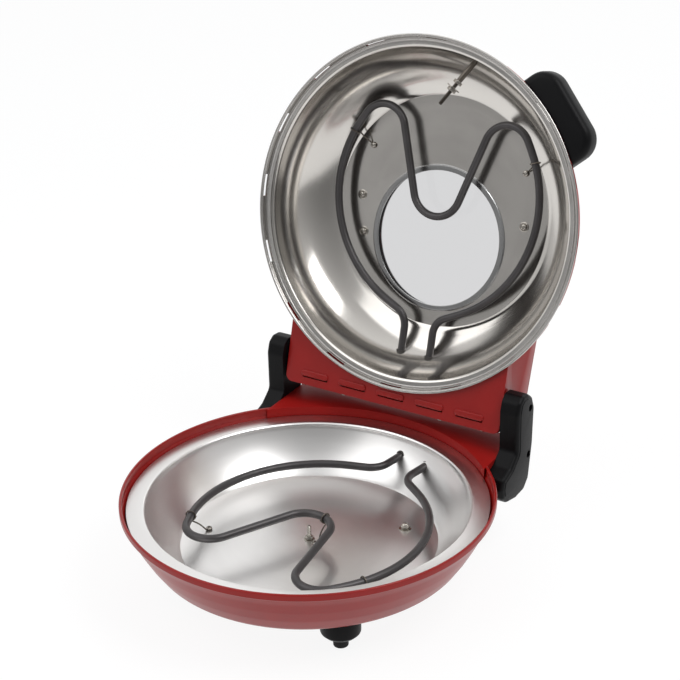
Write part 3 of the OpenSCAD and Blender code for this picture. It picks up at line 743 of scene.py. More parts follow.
class Finishes:
    """Every finish of the part: one for each slot, and five more that some pieces wear instead."""

    def __init__(self) -> None:
        """Builds the materials."""
        effects = Effects()
        red = (0.34, 0.0085, 0.0065), (0.30, 0.0075, 0.0060)
        looks = {
            Slot.RED_PAINT: Coating("red_enamel", *red, (0.30, 0.38), grain=650.0, bump=0.05, specular=0.36,
                                    smudge=0.25),
            Slot.BLACK_PLASTIC: Coating("black_plastic", (0.0030, 0.0030, 0.0036), (0.0024, 0.0024, 0.0030),
                                        (0.42, 0.52), grain=1800.0, bump=0.2, specular=0.14, smudge=0.25),
            Slot.RUBBER: Coating("foot_rubber", (0.012, 0.012, 0.012), (0.018, 0.018, 0.018), (0.7, 0.85),
                                 grain=1200.0, bump=0.3, specular=0.3),
            Slot.POLISHED_STEEL: SpunMetal("polished_steel", (0.67, 0.645, 0.61), (0.61, 0.585, 0.555),
                                           (0.15, 0.19), lines=900.0, bump=0.05, anisotropy=0.4),
            Slot.BRIGHT_TRAY: SpunMetal("bright_tray", (0.80, 0.79, 0.78), (0.76, 0.75, 0.74),
                                        (0.30, 0.32), lines=900.0, bump=0.025, anisotropy=0.0),
            Slot.ELEMENT_SHEATH: Coating("element_sheath", (0.074, 0.069, 0.070), (0.056, 0.052, 0.053),
                                         (0.34, 0.46), metallic=0.5, grain=700.0, bump=0.12),
            Slot.ZINC_STEEL: Coating("zinc_steel", (0.46, 0.43, 0.39), (0.34, 0.32, 0.29), (0.16, 0.3),
                                     metallic=1.0, grain=1500.0, bump=0.08),
            Slot.DARK_SCREW: Coating("black_screw", (0.03, 0.03, 0.032), (0.02, 0.02, 0.022), (0.35, 0.5),
                                     metallic=0.6, grain=1500.0),
            Slot.CERAMIC: Coating("steatite", (0.62, 0.59, 0.52), (0.55, 0.52, 0.46), (0.5, 0.7),
                                  grain=1400.0, bump=0.15),
            Slot.TERMINAL_BRASS: Coating("terminal_metal", (0.60, 0.52, 0.36), (0.48, 0.42, 0.3),
                                         (0.3, 0.45), metallic=1.0, grain=1500.0, bump=0.08),
            Slot.WIRE_SLEEVE: Coating("glass_sleeve", (0.55, 0.55, 0.52), (0.42, 0.42, 0.4), (0.7, 0.9),
                                      grain=2200.0, bump=0.5),
            Slot.WINDOW_GLASS: Glass("window_glass", (0.47, 0.47, 0.48), (0.49, 0.49, 0.50)),
        }
        self.by_slot: dict[Slot, Material] = {slot: look.make(effects) for slot, look in looks.items()}
        self.ring_steel, self.bezel_steel, self.deck_red, self.dark_wire, self.dark_ceramic = (
            look.make(effects) for look in (
                SpunMetal("ring_steel", (0.52, 0.505, 0.485), (0.44, 0.425, 0.41), (0.2, 0.28), lines=420.0),
                SpunMetal("bezel_steel", (0.42, 0.42, 0.42), (0.36, 0.36, 0.36), (0.14, 0.2), lines=420.0),
                Coating("deck_enamel", *red, (0.5, 0.56), grain=650.0, bump=0.05, specular=0.18, smudge=0.25),
                Coating("clip_wire", (0.16, 0.14, 0.12), (0.09, 0.08, 0.07), (0.3, 0.45), metallic=1.0,
                        grain=1500.0, bump=0.08),
                Coating("dark_steatite", (0.05, 0.045, 0.04), (0.035, 0.03, 0.028), (0.6, 0.8),
                        grain=1400.0, bump=0.15)))


# ---------------------------------------------------------------- sub-assemblies
@dataclass
class Assembly:
    """What the sub-assemblies share: the finishes, common sizes in millimetres and the signing off."""
    finishes: Finishes
    rim_z: float = 92.0
    belly_z: float = 27.5
    floor_z: float = 40.0
    house_hw: float = 122.3
    box_y: float = 190.9
    dome_r: float = 172.0
    floor_h: float = 62.5
    top_h: float = 70.0
    win_off: float = 26.9
    shell_t: float = 0.95
    bright_t: float = 0.6

    def sign(self, piece: Piece, slot: Slot, body: Body, node: str,
             finish: Optional[Material] = None) -> None:
        """Dresses a piece, lets it ride on its body and hides the CAD node that it stands for.

        Args:
            piece: the finished object, in its place.
            slot: the record's slot of its finish.
            body: the body that carries it.
            node: name of the CAD node that the piece replaces.
            finish: a material other than the slot's own.
        """
        piece.data.materials.clear()
        piece.data.materials.append(finish or self.finishes.by_slot[slot])
        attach(piece, body.value)
        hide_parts(node)
        log.info("%s: %d faces, rides on %s", piece.name, len(piece.data.polygons), body.value)

    def fit(self, piece: Piece, angle: float, place: Matrix, slot: Slot, body: Body, node: str,
            finish: Optional[Material] = None) -> None:
        """Smooths a finished piece, moves it to its place and signs it.

        Args:
            piece: the object in its own frame.
            angle: faces that meet at less than this, in degrees, are shaded smooth.
            place: from the piece's own frame to the part's.
            slot: as for sign, and so are body, node and finish.
        """
        smooth(piece, angle)
        settle(piece, place)
        self.sign(piece, slot, body, node, finish)


@dataclass
class CadDress(Assembly):
    """Gives every CAD node that stays its finish."""

    def build(self) -> None:
        """Dresses each node by the record's slot of its subpart."""
        slots = {part["node"]: Slot(part["material_slot"]) for part in frame["record"]["subparts"]}
        for name, piece in frame["nodes"].items():
            material = self.finishes.by_slot[slots[name]]
            if not piece.data.materials:
                piece.data.materials.append(material)
            for holder in piece.material_slots:
                holder.material = material


@dataclass
class BaseShells(Assembly):
    """The painted bowl, the bright tray in it, the deck behind them and the cover under them."""
    rim_r: float = 175.0
    belly_r: float = 122.0
    gap_h: float = 12.0
    gap_y: float = 60.0

    def build(self) -> None:
        """Builds the shells."""
        self.bowl()
        self.tray()
        self.sign(refined("rear_housing", "deck_housing", 0.5), Slot.RED_PAINT, Body.BASE, "rear_housing",
                  self.finishes.deck_red)
        self.sign(refined("bottom_cover", "underside_cover", 0.35), Slot.ZINC_STEEL, Body.BASE,
                  "bottom_cover")

    def bowl(self) -> None:
        """The bowl: flat underside, sloping wall and a rolled bead, cut away at the rear housing."""
        z = self.rim_z
        profile = fillet([(92.0, self.belly_z, 0), (self.belly_r, self.belly_z, 18), (146.0, z - 55, 16),
                          (156.2, z - 39.5, 40), (163.2, z - 26.8, 60), (169.3, z - 14.3, 60),
                          (173.4, z - 7.4, 2), (self.rim_r, z - 6.2, 1.2), (self.rim_r, z, 1.9),
                          (172.2, z, 1.3), (172.2, z - 7.5, 0)], 6)
        piece = lathe("bowl_shell", profile)
        low = z - self.gap_h
        edit(piece)
        for x in (-self.house_hw, self.house_hw):
            cut_at((x, 0, 0), (1, 0, 0))
        cut_at((0, 0, low), (0, 0, 1))
        drop_faces(piece, lambda f: abs(f.calc_center_median().x) < self.house_hw * MM
                   and f.calc_center_median().y > self.gap_y * MM and f.calc_center_median().z > low * MM)
        solidify(piece, self.shell_t)
        self.fit(piece, 40, base_place(), Slot.RED_PAINT, Body.BASE, "base_bowl")

    def tray(self) -> None:
        """The tray: a flat flange, a small step and a curved wall down to a flat floor."""
        z, low = self.rim_z, self.floor_z
        wall = arc((121.0, low), (151.5, z - 12.0), 130, 14)[::-1]
        profile = fillet([(168.9, z - 9.8, 0), (168.9, z - 9.2, 0.2), (152.8, z - 9.2, 1.2),
                          (151.5, z - 10.4, 0.6)], 4)
        profile += wall[:-1] + fillet([(wall[-1][0] + 0.6, wall[-1][1] + 1.0, 0), (121.0, low, 3.0),
                                       (112.0, low, 0)], 4)[1:] + [(60.0, low), (20.0, low)]
        piece = lathe("tray_sheet", profile, ends=Ends.POLE)
        face_out(piece)
        back_up(piece, self.bright_t, lambda f: -f.center.xy.length, True)
        round_map(piece)
        self.fit(piece, 40, base_place(), Slot.BRIGHT_TRAY, Body.BASE, "lower_reflector")


@dataclass
class LidShells(Assembly):
    """The dome, the slotted ring and the polished reflector, drawn in the shut lid's frame."""
    top_r: float = 106.0
    seam_r: float = 106.0
    sight_r: float = 69.2
    pane_cut_r: float = 71.6
    vent_z: Point = (2.0, 10.5)
    ring_slot_z: Point = (1.5, 4.1)
    slot_n: int = 16
    slot_half: float = 10.0

    def build(self) -> None:
        """Builds the three shells."""
        self.dome()
        self.ring()
        self.reflector()

    def window_hole(self, piece: Piece) -> None:
        """Joins the reflector's flat floor to the window's round hole, which stands off the axis."""
        def floor_edge(edge: bmesh.types.BMEdge) -> bool:
            """Says whether an edge is a wire or lies on the floor's open rim."""
            return edge.is_wire or (edge.is_boundary and all(
                abs(v.co.xy.length - self.seam_r * MM) < 1e-5 and abs(v.co.z - self.floor_h * MM) < 1e-5
                for v in edge.verts))

        edit(piece)
        bpy.ops.mesh.select_all(action="DESELECT")
        bpy.ops.mesh.primitive_circle_add(vertices=256, radius=self.sight_r * MM,
                                          location=(0, self.win_off * MM, self.floor_h * MM))
        select_where(piece, "EDGE", floor_edge)
        bpy.ops.mesh.bridge_edge_loops()
        done()

    def in_slot(self, face: bmesh.types.BMFace, radii: Point, heights: Point, skip: float = -1.0) -> bool:
        """Says whether a face lies in one of the vent slots.

        Args:
            face: the face, in the shut lid's frame.
            radii: smallest and largest distance from the axis in millimetres.
            heights: lowest and highest place in millimetres.
            skip: share of a turn beside the hinge that has no slots.

        Returns:
            Whether to delete it.
        """
        spot = face.calc_center_median()
        step = math.tau / self.slot_n
        ahead = (math.atan2(spot.y, spot.x) - math.pi / 2) % math.tau
        off = min(ahead % step, step - ahead % step)
        free = min(ahead, math.tau - ahead) / math.tau > skip
        return (free and off * self.dome_r < self.slot_half and heights[0] * MM < spot.z < heights[1] * MM
                and radii[0] * MM < spot.xy.length < radii[1] * MM)

    def dome(self) -> None:
        """The red dome with its vents."""
        top, r = self.top_h, self.dome_r
        profile = fillet([(r, 1.2, 0), (r, 6, 8), (165.0, 20, 50), (153.0, 39.5, 40), (143.0, 56, 18),
                          (self.top_r, top, 30), (self.top_r - 9, top, 0)], 6)
        piece = lathe("dome_shell", profile + [(60.0, top), (20.0, top)], 384, Ends.POLE)
        edit(piece)
        for height in self.vent_z:
            cut_at((0, 0, height), (0, 0, 1))
        drop_faces(piece, lambda f: self.in_slot(f, (160, 175), self.vent_z, 0.16))
        back_up(piece, self.shell_t, lambda f: f.center.z, True)
        cutter = slab("window_cut", ring_points((0, self.win_off), self.pane_cut_r, 192), 12.0)
        settle(cutter, shift(0, 0, top))
        combine(piece, cutter)
        self.fit(piece, 40, lid_place(), Slot.RED_PAINT, Body.LID, "lid_dome")

    def ring(self) -> None:
        """The slotted steel ring at the lid's mouth, with its rolled lip and two beads."""
        low, high = self.ring_slot_z
        profile = fillet([(172.2, 1.1, 0), (172.7, 0.6, 0.4), (172.2, 0.05, 0.4), (171.0, 0.1, 0.5),
                          (170.6, 0.75, 0.3), (170.2, 0.75, 0.3), (170.0, low, 0), (169.3, high, 0),
                          (169.1, 4.9, 0.5), (167.9, 4.9, 0.3), (167.4, 4.3, 0.4), (166.7, 4.3, 0.4),
                          (166.2, 4.9, 0.3), (163.0, 4.9, 0)], 3)
        piece = lathe("vent_ring", profile, 384)
        edit(piece)
        drop_faces(piece, lambda f: self.in_slot(f, (169.2, 170.1), self.ring_slot_z))
        solidify(piece, self.bright_t, 0.0)
        round_map(piece)
        self.fit(piece, 40, lid_place(), Slot.POLISHED_STEEL, Body.LID, "lid_ring", self.finishes.ring_steel)

    def reflector(self) -> None:
        """The polished reflector with its window hole."""
        top = self.floor_h
        wall = arc((160.0, 10.0), (115.0, top), 60, 16)
        profile = fillet([(164.9, 5.6, 0), (162.5, 5.5, 0.8), (160.6, 6.6, 1.0), (160.0, 9.0, 0.8)], 4)[:-1]
        profile += wall[:-1] + fillet([(wall[-1][0] + 0.7, wall[-1][1] - 0.8, 0), (115.0, top, 3.0),
                                       (self.seam_r, top, 0)], 4)[1:]
        piece = lathe("lid_mirror", profile)
        self.window_hole(piece)
        face_out(piece)
        back_up(piece, self.bright_t, lambda f: f.center.z, False)
        round_map(piece)
        self.fit(piece, 40, lid_place(), Slot.POLISHED_STEEL, Body.LID, "lid_reflector")


@dataclass
class Window(Assembly):
    """The round lid window: a pane held between an inner and an outer ring."""
    win_r: float = 73.2

    def build(self) -> None:
        """Builds the pane, its rings and its seal."""
        r, low, top = self.win_r, self.floor_h, self.top_h
        bezel = self.finishes.bezel_steel
        self.turned("inner_bezel", [(r - 6, low - 0.1, 0.2), (r - 6, low - 0.7, 0.3), (r - 5.5, low - 1, 0.4),
                                    (r - 1.2, low - 1, 0.5), (r - 0.5, low - 0.35, 0.3), (r, low - 0.3, 0.1),
                                    (r, low - 0.05, 0.1)], Slot.POLISHED_STEEL, "window_inner_ring", bezel)
        self.turned("pane_seal", [(r - 3.4, low + 3.7, 0.3), (r, low + 3.7, 0.3), (r, top - 1.1, 0.3),
                                  (r - 3.4, top - 1.1, 0.3)], Slot.RUBBER, "window_gasket")
        self.turned("outer_bezel", [(r - 3, top + 0.02, 0.2), (r + 1, top + 0.02, 0.2),
                                    (r + 1, top + 0.7, 0.5), (r + 0.1, top + 1.6, 0.7),
                                    (r - 2.2, top + 1.6, 0.7), (r - 3, top + 0.8, 0.5)],
                    Slot.POLISHED_STEEL, "window_outer_ring", bezel)
        pane = lathe("window_pane", [(r - 1.4, low + 0.6), (r - 1, low + 1), (r - 1, low + 3.2),
                                     (r - 1.4, low + 3.6)], ends=Ends.FLAT)
        edit(pane)
        select_where(pane, "FACE", lambda f: len(f.verts) > 8)
        bpy.ops.mesh.inset(thickness=4 * MM)
        done()
        face_out(pane)
        self.fit(pane, 50, self.place(), Slot.WINDOW_GLASS, Body.LID, "window_glass")

    def place(self) -> Matrix:
        """Returns the window axis' place."""
        return lid_place() @ shift(0, self.win_off, 0)

    def turned(self, name: str, outline: Sequence[Corner], slot: Slot, node: str,
               finish: Optional[Material] = None) -> None:
        """Turns one ring from its section and signs it.

        Args:
            name: the ring's name.
            outline: its section: radius, height and rounding of each corner.
            slot: the record's slot of its finish.
            node: name of the CAD node that it replaces.
            finish: a material other than the slot's own.
        """
        piece = lathe(name, fillet(outline, 4, loop=True), ends=Ends.ROUND_TRIP)
        face_out(piece)
        round_map(piece)
        self.fit(piece, 40, self.place(), slot, Body.LID, node, finish)


@dataclass(frozen=True)
class Clip:
    """One wire clip: the tube's centre, the headings of tube and tab in degrees, and the tab's reach."""
    spot: Vector
    along: float
    tab: float
    reach: float


@dataclass
class Elements(Assembly):
    """Both tubular heating elements with their wire clips, clip screws and neck bushes."""
    tube_r: float = 3.8
    wire_r: float = 0.75
    eye_r: float = 2.3
    coil_turns: float = 1.22
    coil_length: float = 2.3
    coil_steps: int = 22
    low_x: float = 9.5
    low_y: float = 2.5
    low_z: float = 65.0
    low_turn: float = -9.5
    up_z: float = 47.0
    low_drop: float = 25.0
    up_drop: float = 15.5

    def __post_init__(self) -> None:
        """Works out the bent line and the clip places that both elements share."""
        half = [(16.0, 158.0, 0.0), (16.0, 106.8, 20.0), (159.6, 36.4, 121.5), (61.4, -131.5, 24.0)]
        self.corners = [*half, (0.0, 63.8, 25.7), *[(-x, y, r) for x, y, r in reversed(half)]]
        self.clips = {
            "lower": [Clip(self.on_bend(2, -28, True), 118, 86, 21.4),
                      Clip(self.on_bend(4, 78), 168, 250, 11),
                      Clip(self.on_bend(2, -20), 70, 102, 21)],
            "upper": [Clip(self.on_bend(2, -24.4), 65.6, 138.7, 19.7),
                      Clip(self.on_bend(2, -24.4, True), 114.4, 41.3, 19.7)]}

    def on_bend(self, i: int, degrees: float, flip: bool = False) -> Vector:
        """Finds the tube's centre on one bend.

        Args:
            i: number of the bend's corner.
            degrees: angle about the bend's centre.
            flip: whether to mirror the place to the other side.

        Returns:
            The flat place in millimetres.
        """
        here, back, ahead = (Vector(self.corners[k][:2]) for k in (i, i - 1, i + 1))
        ways = (back - here).normalized(), (ahead - here).normalized()
        bend = math.pi - ways[0].angle(ways[1])
        radius = self.corners[i][2]
        spot = here + (ways[0] + ways[1]).normalized() * radius / math.cos(bend / 2)
        spot += radius * polar(math.radians(degrees))
        return Vector((-spot.x, spot.y)) if flip else spot

    def place(self, name: str) -> Matrix:
        """Returns the place of one element's own frame."""
        if name == "upper":
            return lid_place() @ shift(0, 0, self.up_z)
        return base_place() @ shift(self.low_x, self.low_y, self.low_z) @ turn(self.low_turn)

    def build(self) -> None:
        """Builds both elements and their fittings; the upper one's clips reach the other way."""
        sides = (("lower", Body.BASE, self.low_drop, 1, "+z"), ("upper", Body.LID, self.up_drop, -1, "-z"))
        for name, body, drop, way, side in sides:
            place, clips = self.place(name), self.clips[name]
            tube = wire(name + "_tube", fillet(self.corners, 22, reach=1.0), self.tube_r, sides=9)
            self.fit(tube, 50, place, Slot.ELEMENT_SHEATH, body, name + "_element")
            wires = joined(name + "_clip_wires", *[self.bent(clip, drop, way) for clip in clips])
            self.fit(wires, 50, place, Slot.ZINC_STEEL, body, name + "_clips", self.finishes.dark_wire)
            spots = [clip.spot + polar(math.radians(clip.tab)) * clip.reach for clip in clips]
            screws = at_places(Fasteners.pan_screw(name + "_clip_heads", 2.9, 1.5, 1.4, 4.4),
                               [place @ facing((s.x, s.y, way * (1.5 - drop)), side) for s in spots])
            self.sign(screws, Slot.ZINC_STEEL, body, name + "_clip_screws")
            self.sign(refined(name + "_bushes", name + "_necks", 0.4), Slot.CERAMIC, body, name + "_bushes",
                      self.finishes.dark_ceramic)

    def bent(self, clip: Clip, drop: float, way: int) -> Piece:
        """Bends one clip from wire: an eye under its screw, a tail, and a loop and a quarter round the tube.

        Args:
            clip: where it stands and how it points.
            drop: distance from the tube's centre to the sheet in millimetres.
            way: 1 if the sheet lies below the tube, or -1.

        Returns:
            The bent wire, in the element's own frame.
        """
        d = polar(math.radians(clip.along)).to_3d()
        t = polar(math.radians(clip.tab)).to_3d()
        n = Vector((-d.y, d.x, 0))
        n = n if n.dot(t) > 0 else -n
        big = self.tube_r + self.wire_r + 0.15
        eye = t * clip.reach + Vector((0, 0, self.wire_r - drop))
        start = math.atan2(-t.y, -t.x)
        points = [eye + self.eye_r * polar(start + math.tau * j / 14).to_3d() for j in range(-12, 0)]
        # The tail leaves the eye and climbs to the tube.
        points += [eye - t * 3.2 + Vector((0, 0, 0.3)),
                   t * (clip.reach * 0.45) + Vector((0, 0, -drop * 0.55))]
        for j in range(self.coil_steps + 1):
            a = -math.pi / 2 + math.tau * self.coil_turns * j / self.coil_steps
            along = self.coil_length * j / self.coil_steps - 1.1
            points.append(n * big * math.cos(a) + Vector((0, 0, big * math.sin(a))) + d * along)
        points = [Vector((clip.spot.x + p.x, clip.spot.y + p.y, way * p.z)) for p in points]
        return wire("clip_wire", flow(points, 4), self.wire_r, sides=3)


class Fasteners:
    """Patterns of the bought-in screws, nuts and studs, drawn upright at the origin."""

    @staticmethod
    def pan_screw(name: str, head_r: float, head_h: float, shank_r: float, length: float) -> Piece:
        """Turns a pan head screw and cuts its cross recess.

        Args:
            name: the piece's name.
            head_r: radius of the head in millimetres.
            head_h: height of the head over the seat at z = 0.
            shank_r: radius of the shank.
            length: length of the shank under the seat.

        Returns:
            The screw, head up.
        """
        profile = [(shank_r, -length), (shank_r, 0), (head_r - 0.2, 0), (head_r, 0.25)]
        profile += [(head_r * wide, head_h * high) for wide, high in ((0.97, 0.5), (0.82, 0.82), (0.5, 0.97))]
        piece = lathe(name, [*profile, (head_r * 0.2, head_h)], 40, Ends.FLAT)
        face_out(piece)
        for angle in (0, 90):
            deselect()
            bpy.ops.mesh.primitive_cube_add(
                size=1, location=(0, 0, head_h * 0.8 * MM), rotation=(0, 0, math.radians(angle)),
                scale=(head_r * 1.15 * MM, head_r * 0.26 * MM, head_h * 0.75 * MM))
            bpy.ops.object.transform_apply(location=True, rotation=True, scale=True)
            combine(piece, bpy.context.active_object)
        smooth(piece, 40)
        return piece

    @staticmethod
    def hex_nut(name: str, across: float, height: float, dome: float = 0.0) -> Piece:
        """Extrudes a nut with chamfered faces.

        Args:
            name: the piece's name.
            across: width over two flat sides in millimetres.
            height: height of the nut.
            dome: height of an acorn dome on it, or 0 for none.

        Returns:
            The nut, standing on z = 0.
        """
        lip = 0.35
        deselect()
        bpy.ops.mesh.primitive_circle_add(vertices=6, radius=across / math.sqrt(3) * MM, fill_type="NGON")
        piece = named(name)
        edit(piece)
        for rise in (height - lip, lip):
            bpy.ops.mesh.extrude_region_move(TRANSFORM_OT_translate={"value": (0, 0, rise * MM)})
        bpy.ops.transform.resize(value=(0.9, 0.9, 1), center_override=(0, 0, height * MM))
        done()
        face_out(piece)
        bevel(piece, 0.18, 2, 30)
        if dome:
            profile = fillet([(across * 0.46, height - 0.2, 0), (across * 0.46, height + dome * 0.35, 1.2),
                              (across * 0.3, height + dome * 0.85, 1.5), (0.3, height + dome, 0)], 5)
            cap = lathe(name + "_cap", profile, 32, Ends.POLE)
            face_out(cap)
            piece = joined(name, piece, cap)
        smooth(piece, 35)
        return piece

    @staticmethod
    def washer(name: str, outer: float, inner: float, height: float) -> Piece:
        """Turns a washer with softened edges from its two radii and its height."""
        outline = [(inner, 0, 0.1), (outer, 0, 0.15), (outer, height, 0.25), (inner, height, 0.15)]
        piece = lathe(name, fillet(outline, 2, loop=True), 48, Ends.ROUND_TRIP)
        face_out(piece)
        smooth(piece, 40)
        return piece

    @staticmethod
    def threaded(name: str, radius: float, low: float, high: float, plain: float = 0.0) -> Piece:
        """Turns a stud whose ridges stand at the pitch of its thread.

        Args:
            name: the piece's name.
            radius: outer radius in millimetres.
            low: height of its lower end.
            high: height of its upper, chamfered end.
            plain: length without thread above the lower end.

        Returns:
            The stud, upright.
        """
        pitch, root = 0.7, radius - 0.3
        profile = [(root, low)] + ([(radius, low + 0.3), (radius, low + plain)] if plain else [])
        z = low + max(plain, 0.2)
        while z < high - pitch - 0.6:
            profile += [(root, z + pitch * 0.15), (radius, z + pitch * 0.5), (radius, z + pitch * 0.62),
                        (root, z + pitch * 0.97)]
            z += pitch
        profile += [(radius - 0.15, high - 0.6), (radius * 0.6, high - 0.05), (0.3, high)]
        piece = lathe(name, profile, 32, Ends.POLE)
        face_out(piece)
        smooth(piece, 45)
        return piece


@dataclass
class Hardware(Assembly):
    """The studs, nuts, washers and screws that show."""
    post_z: float = 61.9
    plate_screw_z: float = 10.35
    probe_turn: float = 12.5
    probe_yaw: float = 14.5
    probe_tilt: float = -111.0

    def build(self) -> None:
        """Builds each group."""
        base, lid = base_place(), lid_place()
        self.tray_stud(base)
        self.tray_bolt(base)
        self.lid_posts(lid)
        self.probe(lid)
        plate = [lid @ facing((x, self.box_y, self.plate_screw_z), "+y") for x in (-101, -54.5, 54.5, 101)]
        self.screws("plate_heads", (3.1, 1.9, 1.5, 5.5), plate, Slot.ZINC_STEEL, Body.LID, "plate_screws")
        spots = [(HINGE_Y - 3.2, self.rim_z + 45), (HINGE_Y - 5.2, self.rim_z - 4)]
        covers = [base @ facing((s * (self.house_hw + 15.7), *p), "+x" if s > 0 else "-x")
                  for s in (1, -1) for p in spots]
        self.screws("cover_heads", (3.1, 2.3, 1.6, 13.5), covers, Slot.DARK_SCREW, Body.BASE, "arm_screws")
        under = [base @ turn(a) @ facing((95.5, 0, self.belly_z - 1), "-z") for a in range(30, 331, 60)]
        self.screws("cover_plate_heads", (3.1, 1.9, 1.5, 4.5), under, Slot.ZINC_STEEL, Body.BASE,
                    "bottom_screws")

    def screws(self, name: str, sizes: Sequence[float], places: Sequence[Matrix], slot: Slot, body: Body,
               node: str) -> None:
        """Stands pan head screws of four given sizes at their places and signs the group."""
        self.sign(at_places(Fasteners.pan_screw(name, *sizes), places), slot, body, node)

    def tray_stud(self, base: Matrix) -> None:
        """The stud in the middle of the tray, with a nut and a washer on both sides."""
        floor, belly = self.floor_z, self.belly_z
        stud = Fasteners.threaded("tray_stud", 1.98, belly - 5.4, floor + 15.5)
        settle(stud, base)
        self.sign(stud, Slot.ZINC_STEEL, Body.BASE, "centre_stud")
        nuts = at_places(Fasteners.hex_nut("stud_nut", 7, 3.2), [
            base @ facing((0, 0, floor + 0.8), "+z"), base @ facing((0, 0, belly - 1.8), "-z")])
        rings = at_places(Fasteners.washer("stud_washer", 5.2, 1.7, 0.8), [
            base @ facing((0, 0, floor), "+z"), base @ facing((0, 0, belly - 1.8), "+z")])
        self.sign(joined("tray_stud_nuts", nuts, rings), Slot.ZINC_STEEL, Body.BASE, "stud_nuts")

    def tray_bolt(self, base: Matrix) -> None:
        """The acorn nut beside it, with its washer and bolt."""
        bolt = joined("tray_acorn_nut", Fasteners.hex_nut("acorn", 7, 3.2, 2.6),
                      at_places(Fasteners.washer("acorn_washer", 6, 1.7, 0.8), [facing((0, 0, -0.8), "+z")]),
                      at_places(Fasteners.threaded("acorn_bolt", 1.95, -3.4, 0.2), [facing((0, 0, 0), "+z")]))
        settle(bolt, base @ facing((68.8, 61, self.floor_z + 0.8), "+z"))
        self.sign(bolt, Slot.ZINC_STEEL, Body.BASE, "tray_bolt")

    def lid_posts(self, lid: Matrix) -> None:
        """The three screws of the reflector, with their washers."""
        spots = [(x, y, self.post_z) for x, y in ((90.5, -1), (-90.5, -1), (-83.7, 35.4))]
        heads = at_places(Fasteners.pan_screw("lid_head", 3.2, 2.1, 1.6, 6.0),
                          [lid @ facing(p, "-z") for p in spots])
        pads = at_places(Fasteners.washer("lid_pad", 5, 1.8, 0.6), [lid @ facing(p, "+z") for p in spots])
        self.sign(joined("lid_washer_screws", heads, pads), Slot.ZINC_STEEL, Body.LID, "lid_screws")

    def probe(self, lid: Matrix) -> None:
        """The long stud through the lid's wall, with its two nuts and a washer."""
        place = (lid @ turn(self.probe_turn) @ shift(0, -156.97, 24.0) @ turn(self.probe_yaw)
                 @ turn(self.probe_tilt, "X"))
        section = fillet([(1.7, 1.2, 0.2), (2.7, 1.2, 0.3), (2.7, 24.9, 0.3), (1.7, 24.9, 0.2)], 3, loop=True)
        sleeve = lathe("lid_sleeve", section, 48, Ends.ROUND_TRIP)
        face_out(sleeve)
        stud = joined("lid_probe", Fasteners.threaded("lid_rod", 1.98, -2.1, 53.0, plain=25.0), sleeve)
        self.fit(stud, 50, place, Slot.ZINC_STEEL, Body.LID, "lid_stud", self.finishes.dark_wire)
        nuts = at_places(Fasteners.hex_nut("probe_nut", 8, 3.2),
                         [place @ shift(0, 0, z) for z in (25.0, 34.0)])
        pad = at_places(Fasteners.washer("probe_washer", 7, 1.8, 0.8), [place @ shift(0, 0, 32.8)])
        self.sign(joined("lid_probe_nuts", nuts, pad), Slot.ZINC_STEEL, Body.LID, "lid_stud_nuts")


@dataclass
class Arms(Assembly):
    """The black hinge arms, each an inner shell and a cover with a raised face."""
    joint_x: float = 131.3
    outer_x: float = 143.0

    def build(self) -> None:
        """Builds an arm and a cover and mirrors both."""
        shape = [(-26.7, 6, 7), (-27.2, 46, 12), (-23.7, 57, 8), (-16.2, 62, 7), (-5.7, 61, 8),
                 (3.3, 54, 9), (7.8, 42, 9), (5.8, 4, 30), (-1.2, -32, 8), (-11.2, -41, 7), (-28.2, -42, 6),
                 (-46.2, -38, 8), (-56.2, -30, 7), (-58.2, -20, 6), (-55.2, -10, 6), (-40.2, -5, 9)]
        outline = fillet([(HINGE_Y + y, self.rim_z + z, r) for y, z, r in shape], 6, loop=True)
        for side, sign in (("right", 1), ("left", -1)):
            arm = slab(side + "_arm_shell", outline, self.joint_x - self.house_hw - 0.02)
            self.stand(arm, (self.joint_x + self.house_hw) / 2 - 0.01, sign, side + "_arm")
            self.stand(self.cover(side, outline), (self.outer_x + self.joint_x) / 2 - 0.5, sign,
                       side + "_arm_cover")

    def cover(self, side: str, outline: Sequence[Point]) -> Piece:
        """Builds one cover: a rounded cap on a sharp skirt, a raised face and two wells for screws.

        Args:
            side: the side's name.
            outline: the arm's outline.

        Returns:
            The cover, lying flat.
        """
        width = self.outer_x - self.joint_x
        cover = slab(side + "_arm_cap", outline, width - 1.0, 3.6)
        skirt = slab(side + "_skirt", outline, 6.0)
        settle(skirt, shift(0, 0, 3.0 - (width - 1.0) / 2))
        combine(cover, skirt, Join.ADD)
        face = slab(side + "_face", self.shrunk(outline, 4.2), 4.0, 0.9)
        settle(face, shift(0, 0, (width - 0.95) / 2 - 1.4))
        combine(cover, face, Join.ADD)
        for y, z in ((-3.2, 45), (-5.2, -4)):
            well = slab("well", ring_points((HINGE_Y + y, self.rim_z + z), 3.6, 32), 8.0)
            settle(well, shift(0, 0, width / 2))
            combine(cover, well)
        return cover

    @staticmethod
    def shrunk(outline: Sequence[Point], inset: float) -> list[Point]:
        """Returns an outline moved inwards along its own normals by a distance."""
        area = sum(a[0] * b[1] - b[0] * a[1] for a, b in zip(outline, [*outline[1:], outline[0]]))
        out = []
        for i, spot in enumerate(outline):
            way = Vector(outline[(i + 1) % len(outline)]) - Vector(outline[i - 1])
            side = Vector((-way.y, way.x)).normalized() * (inset if area > 0 else -inset)
            out.append((spot[0] + side.x, spot[1] + side.y))
        return out

    def stand(self, piece: Piece, x: float, sign: int, node: str) -> None:
        """Stands a flat piece upright and signs it.

        Args:
            piece: the flat piece.
            x: distance from the middle in millimetres.
            sign: 1 for the right side, or -1.
            node: name of the CAD node that it replaces.
        """
        upright = Matrix(((0, 0, sign, sign * x * MM), (1, 0, 0, 0), (0, 1, 0, 0), (0, 0, 0, 1)))
        settle(piece, base_place() @ upright)
        face_out(piece)
        smooth(piece, 35)
        self.sign(piece, Slot.BLACK_PLASTIC, Body.BASE, node)


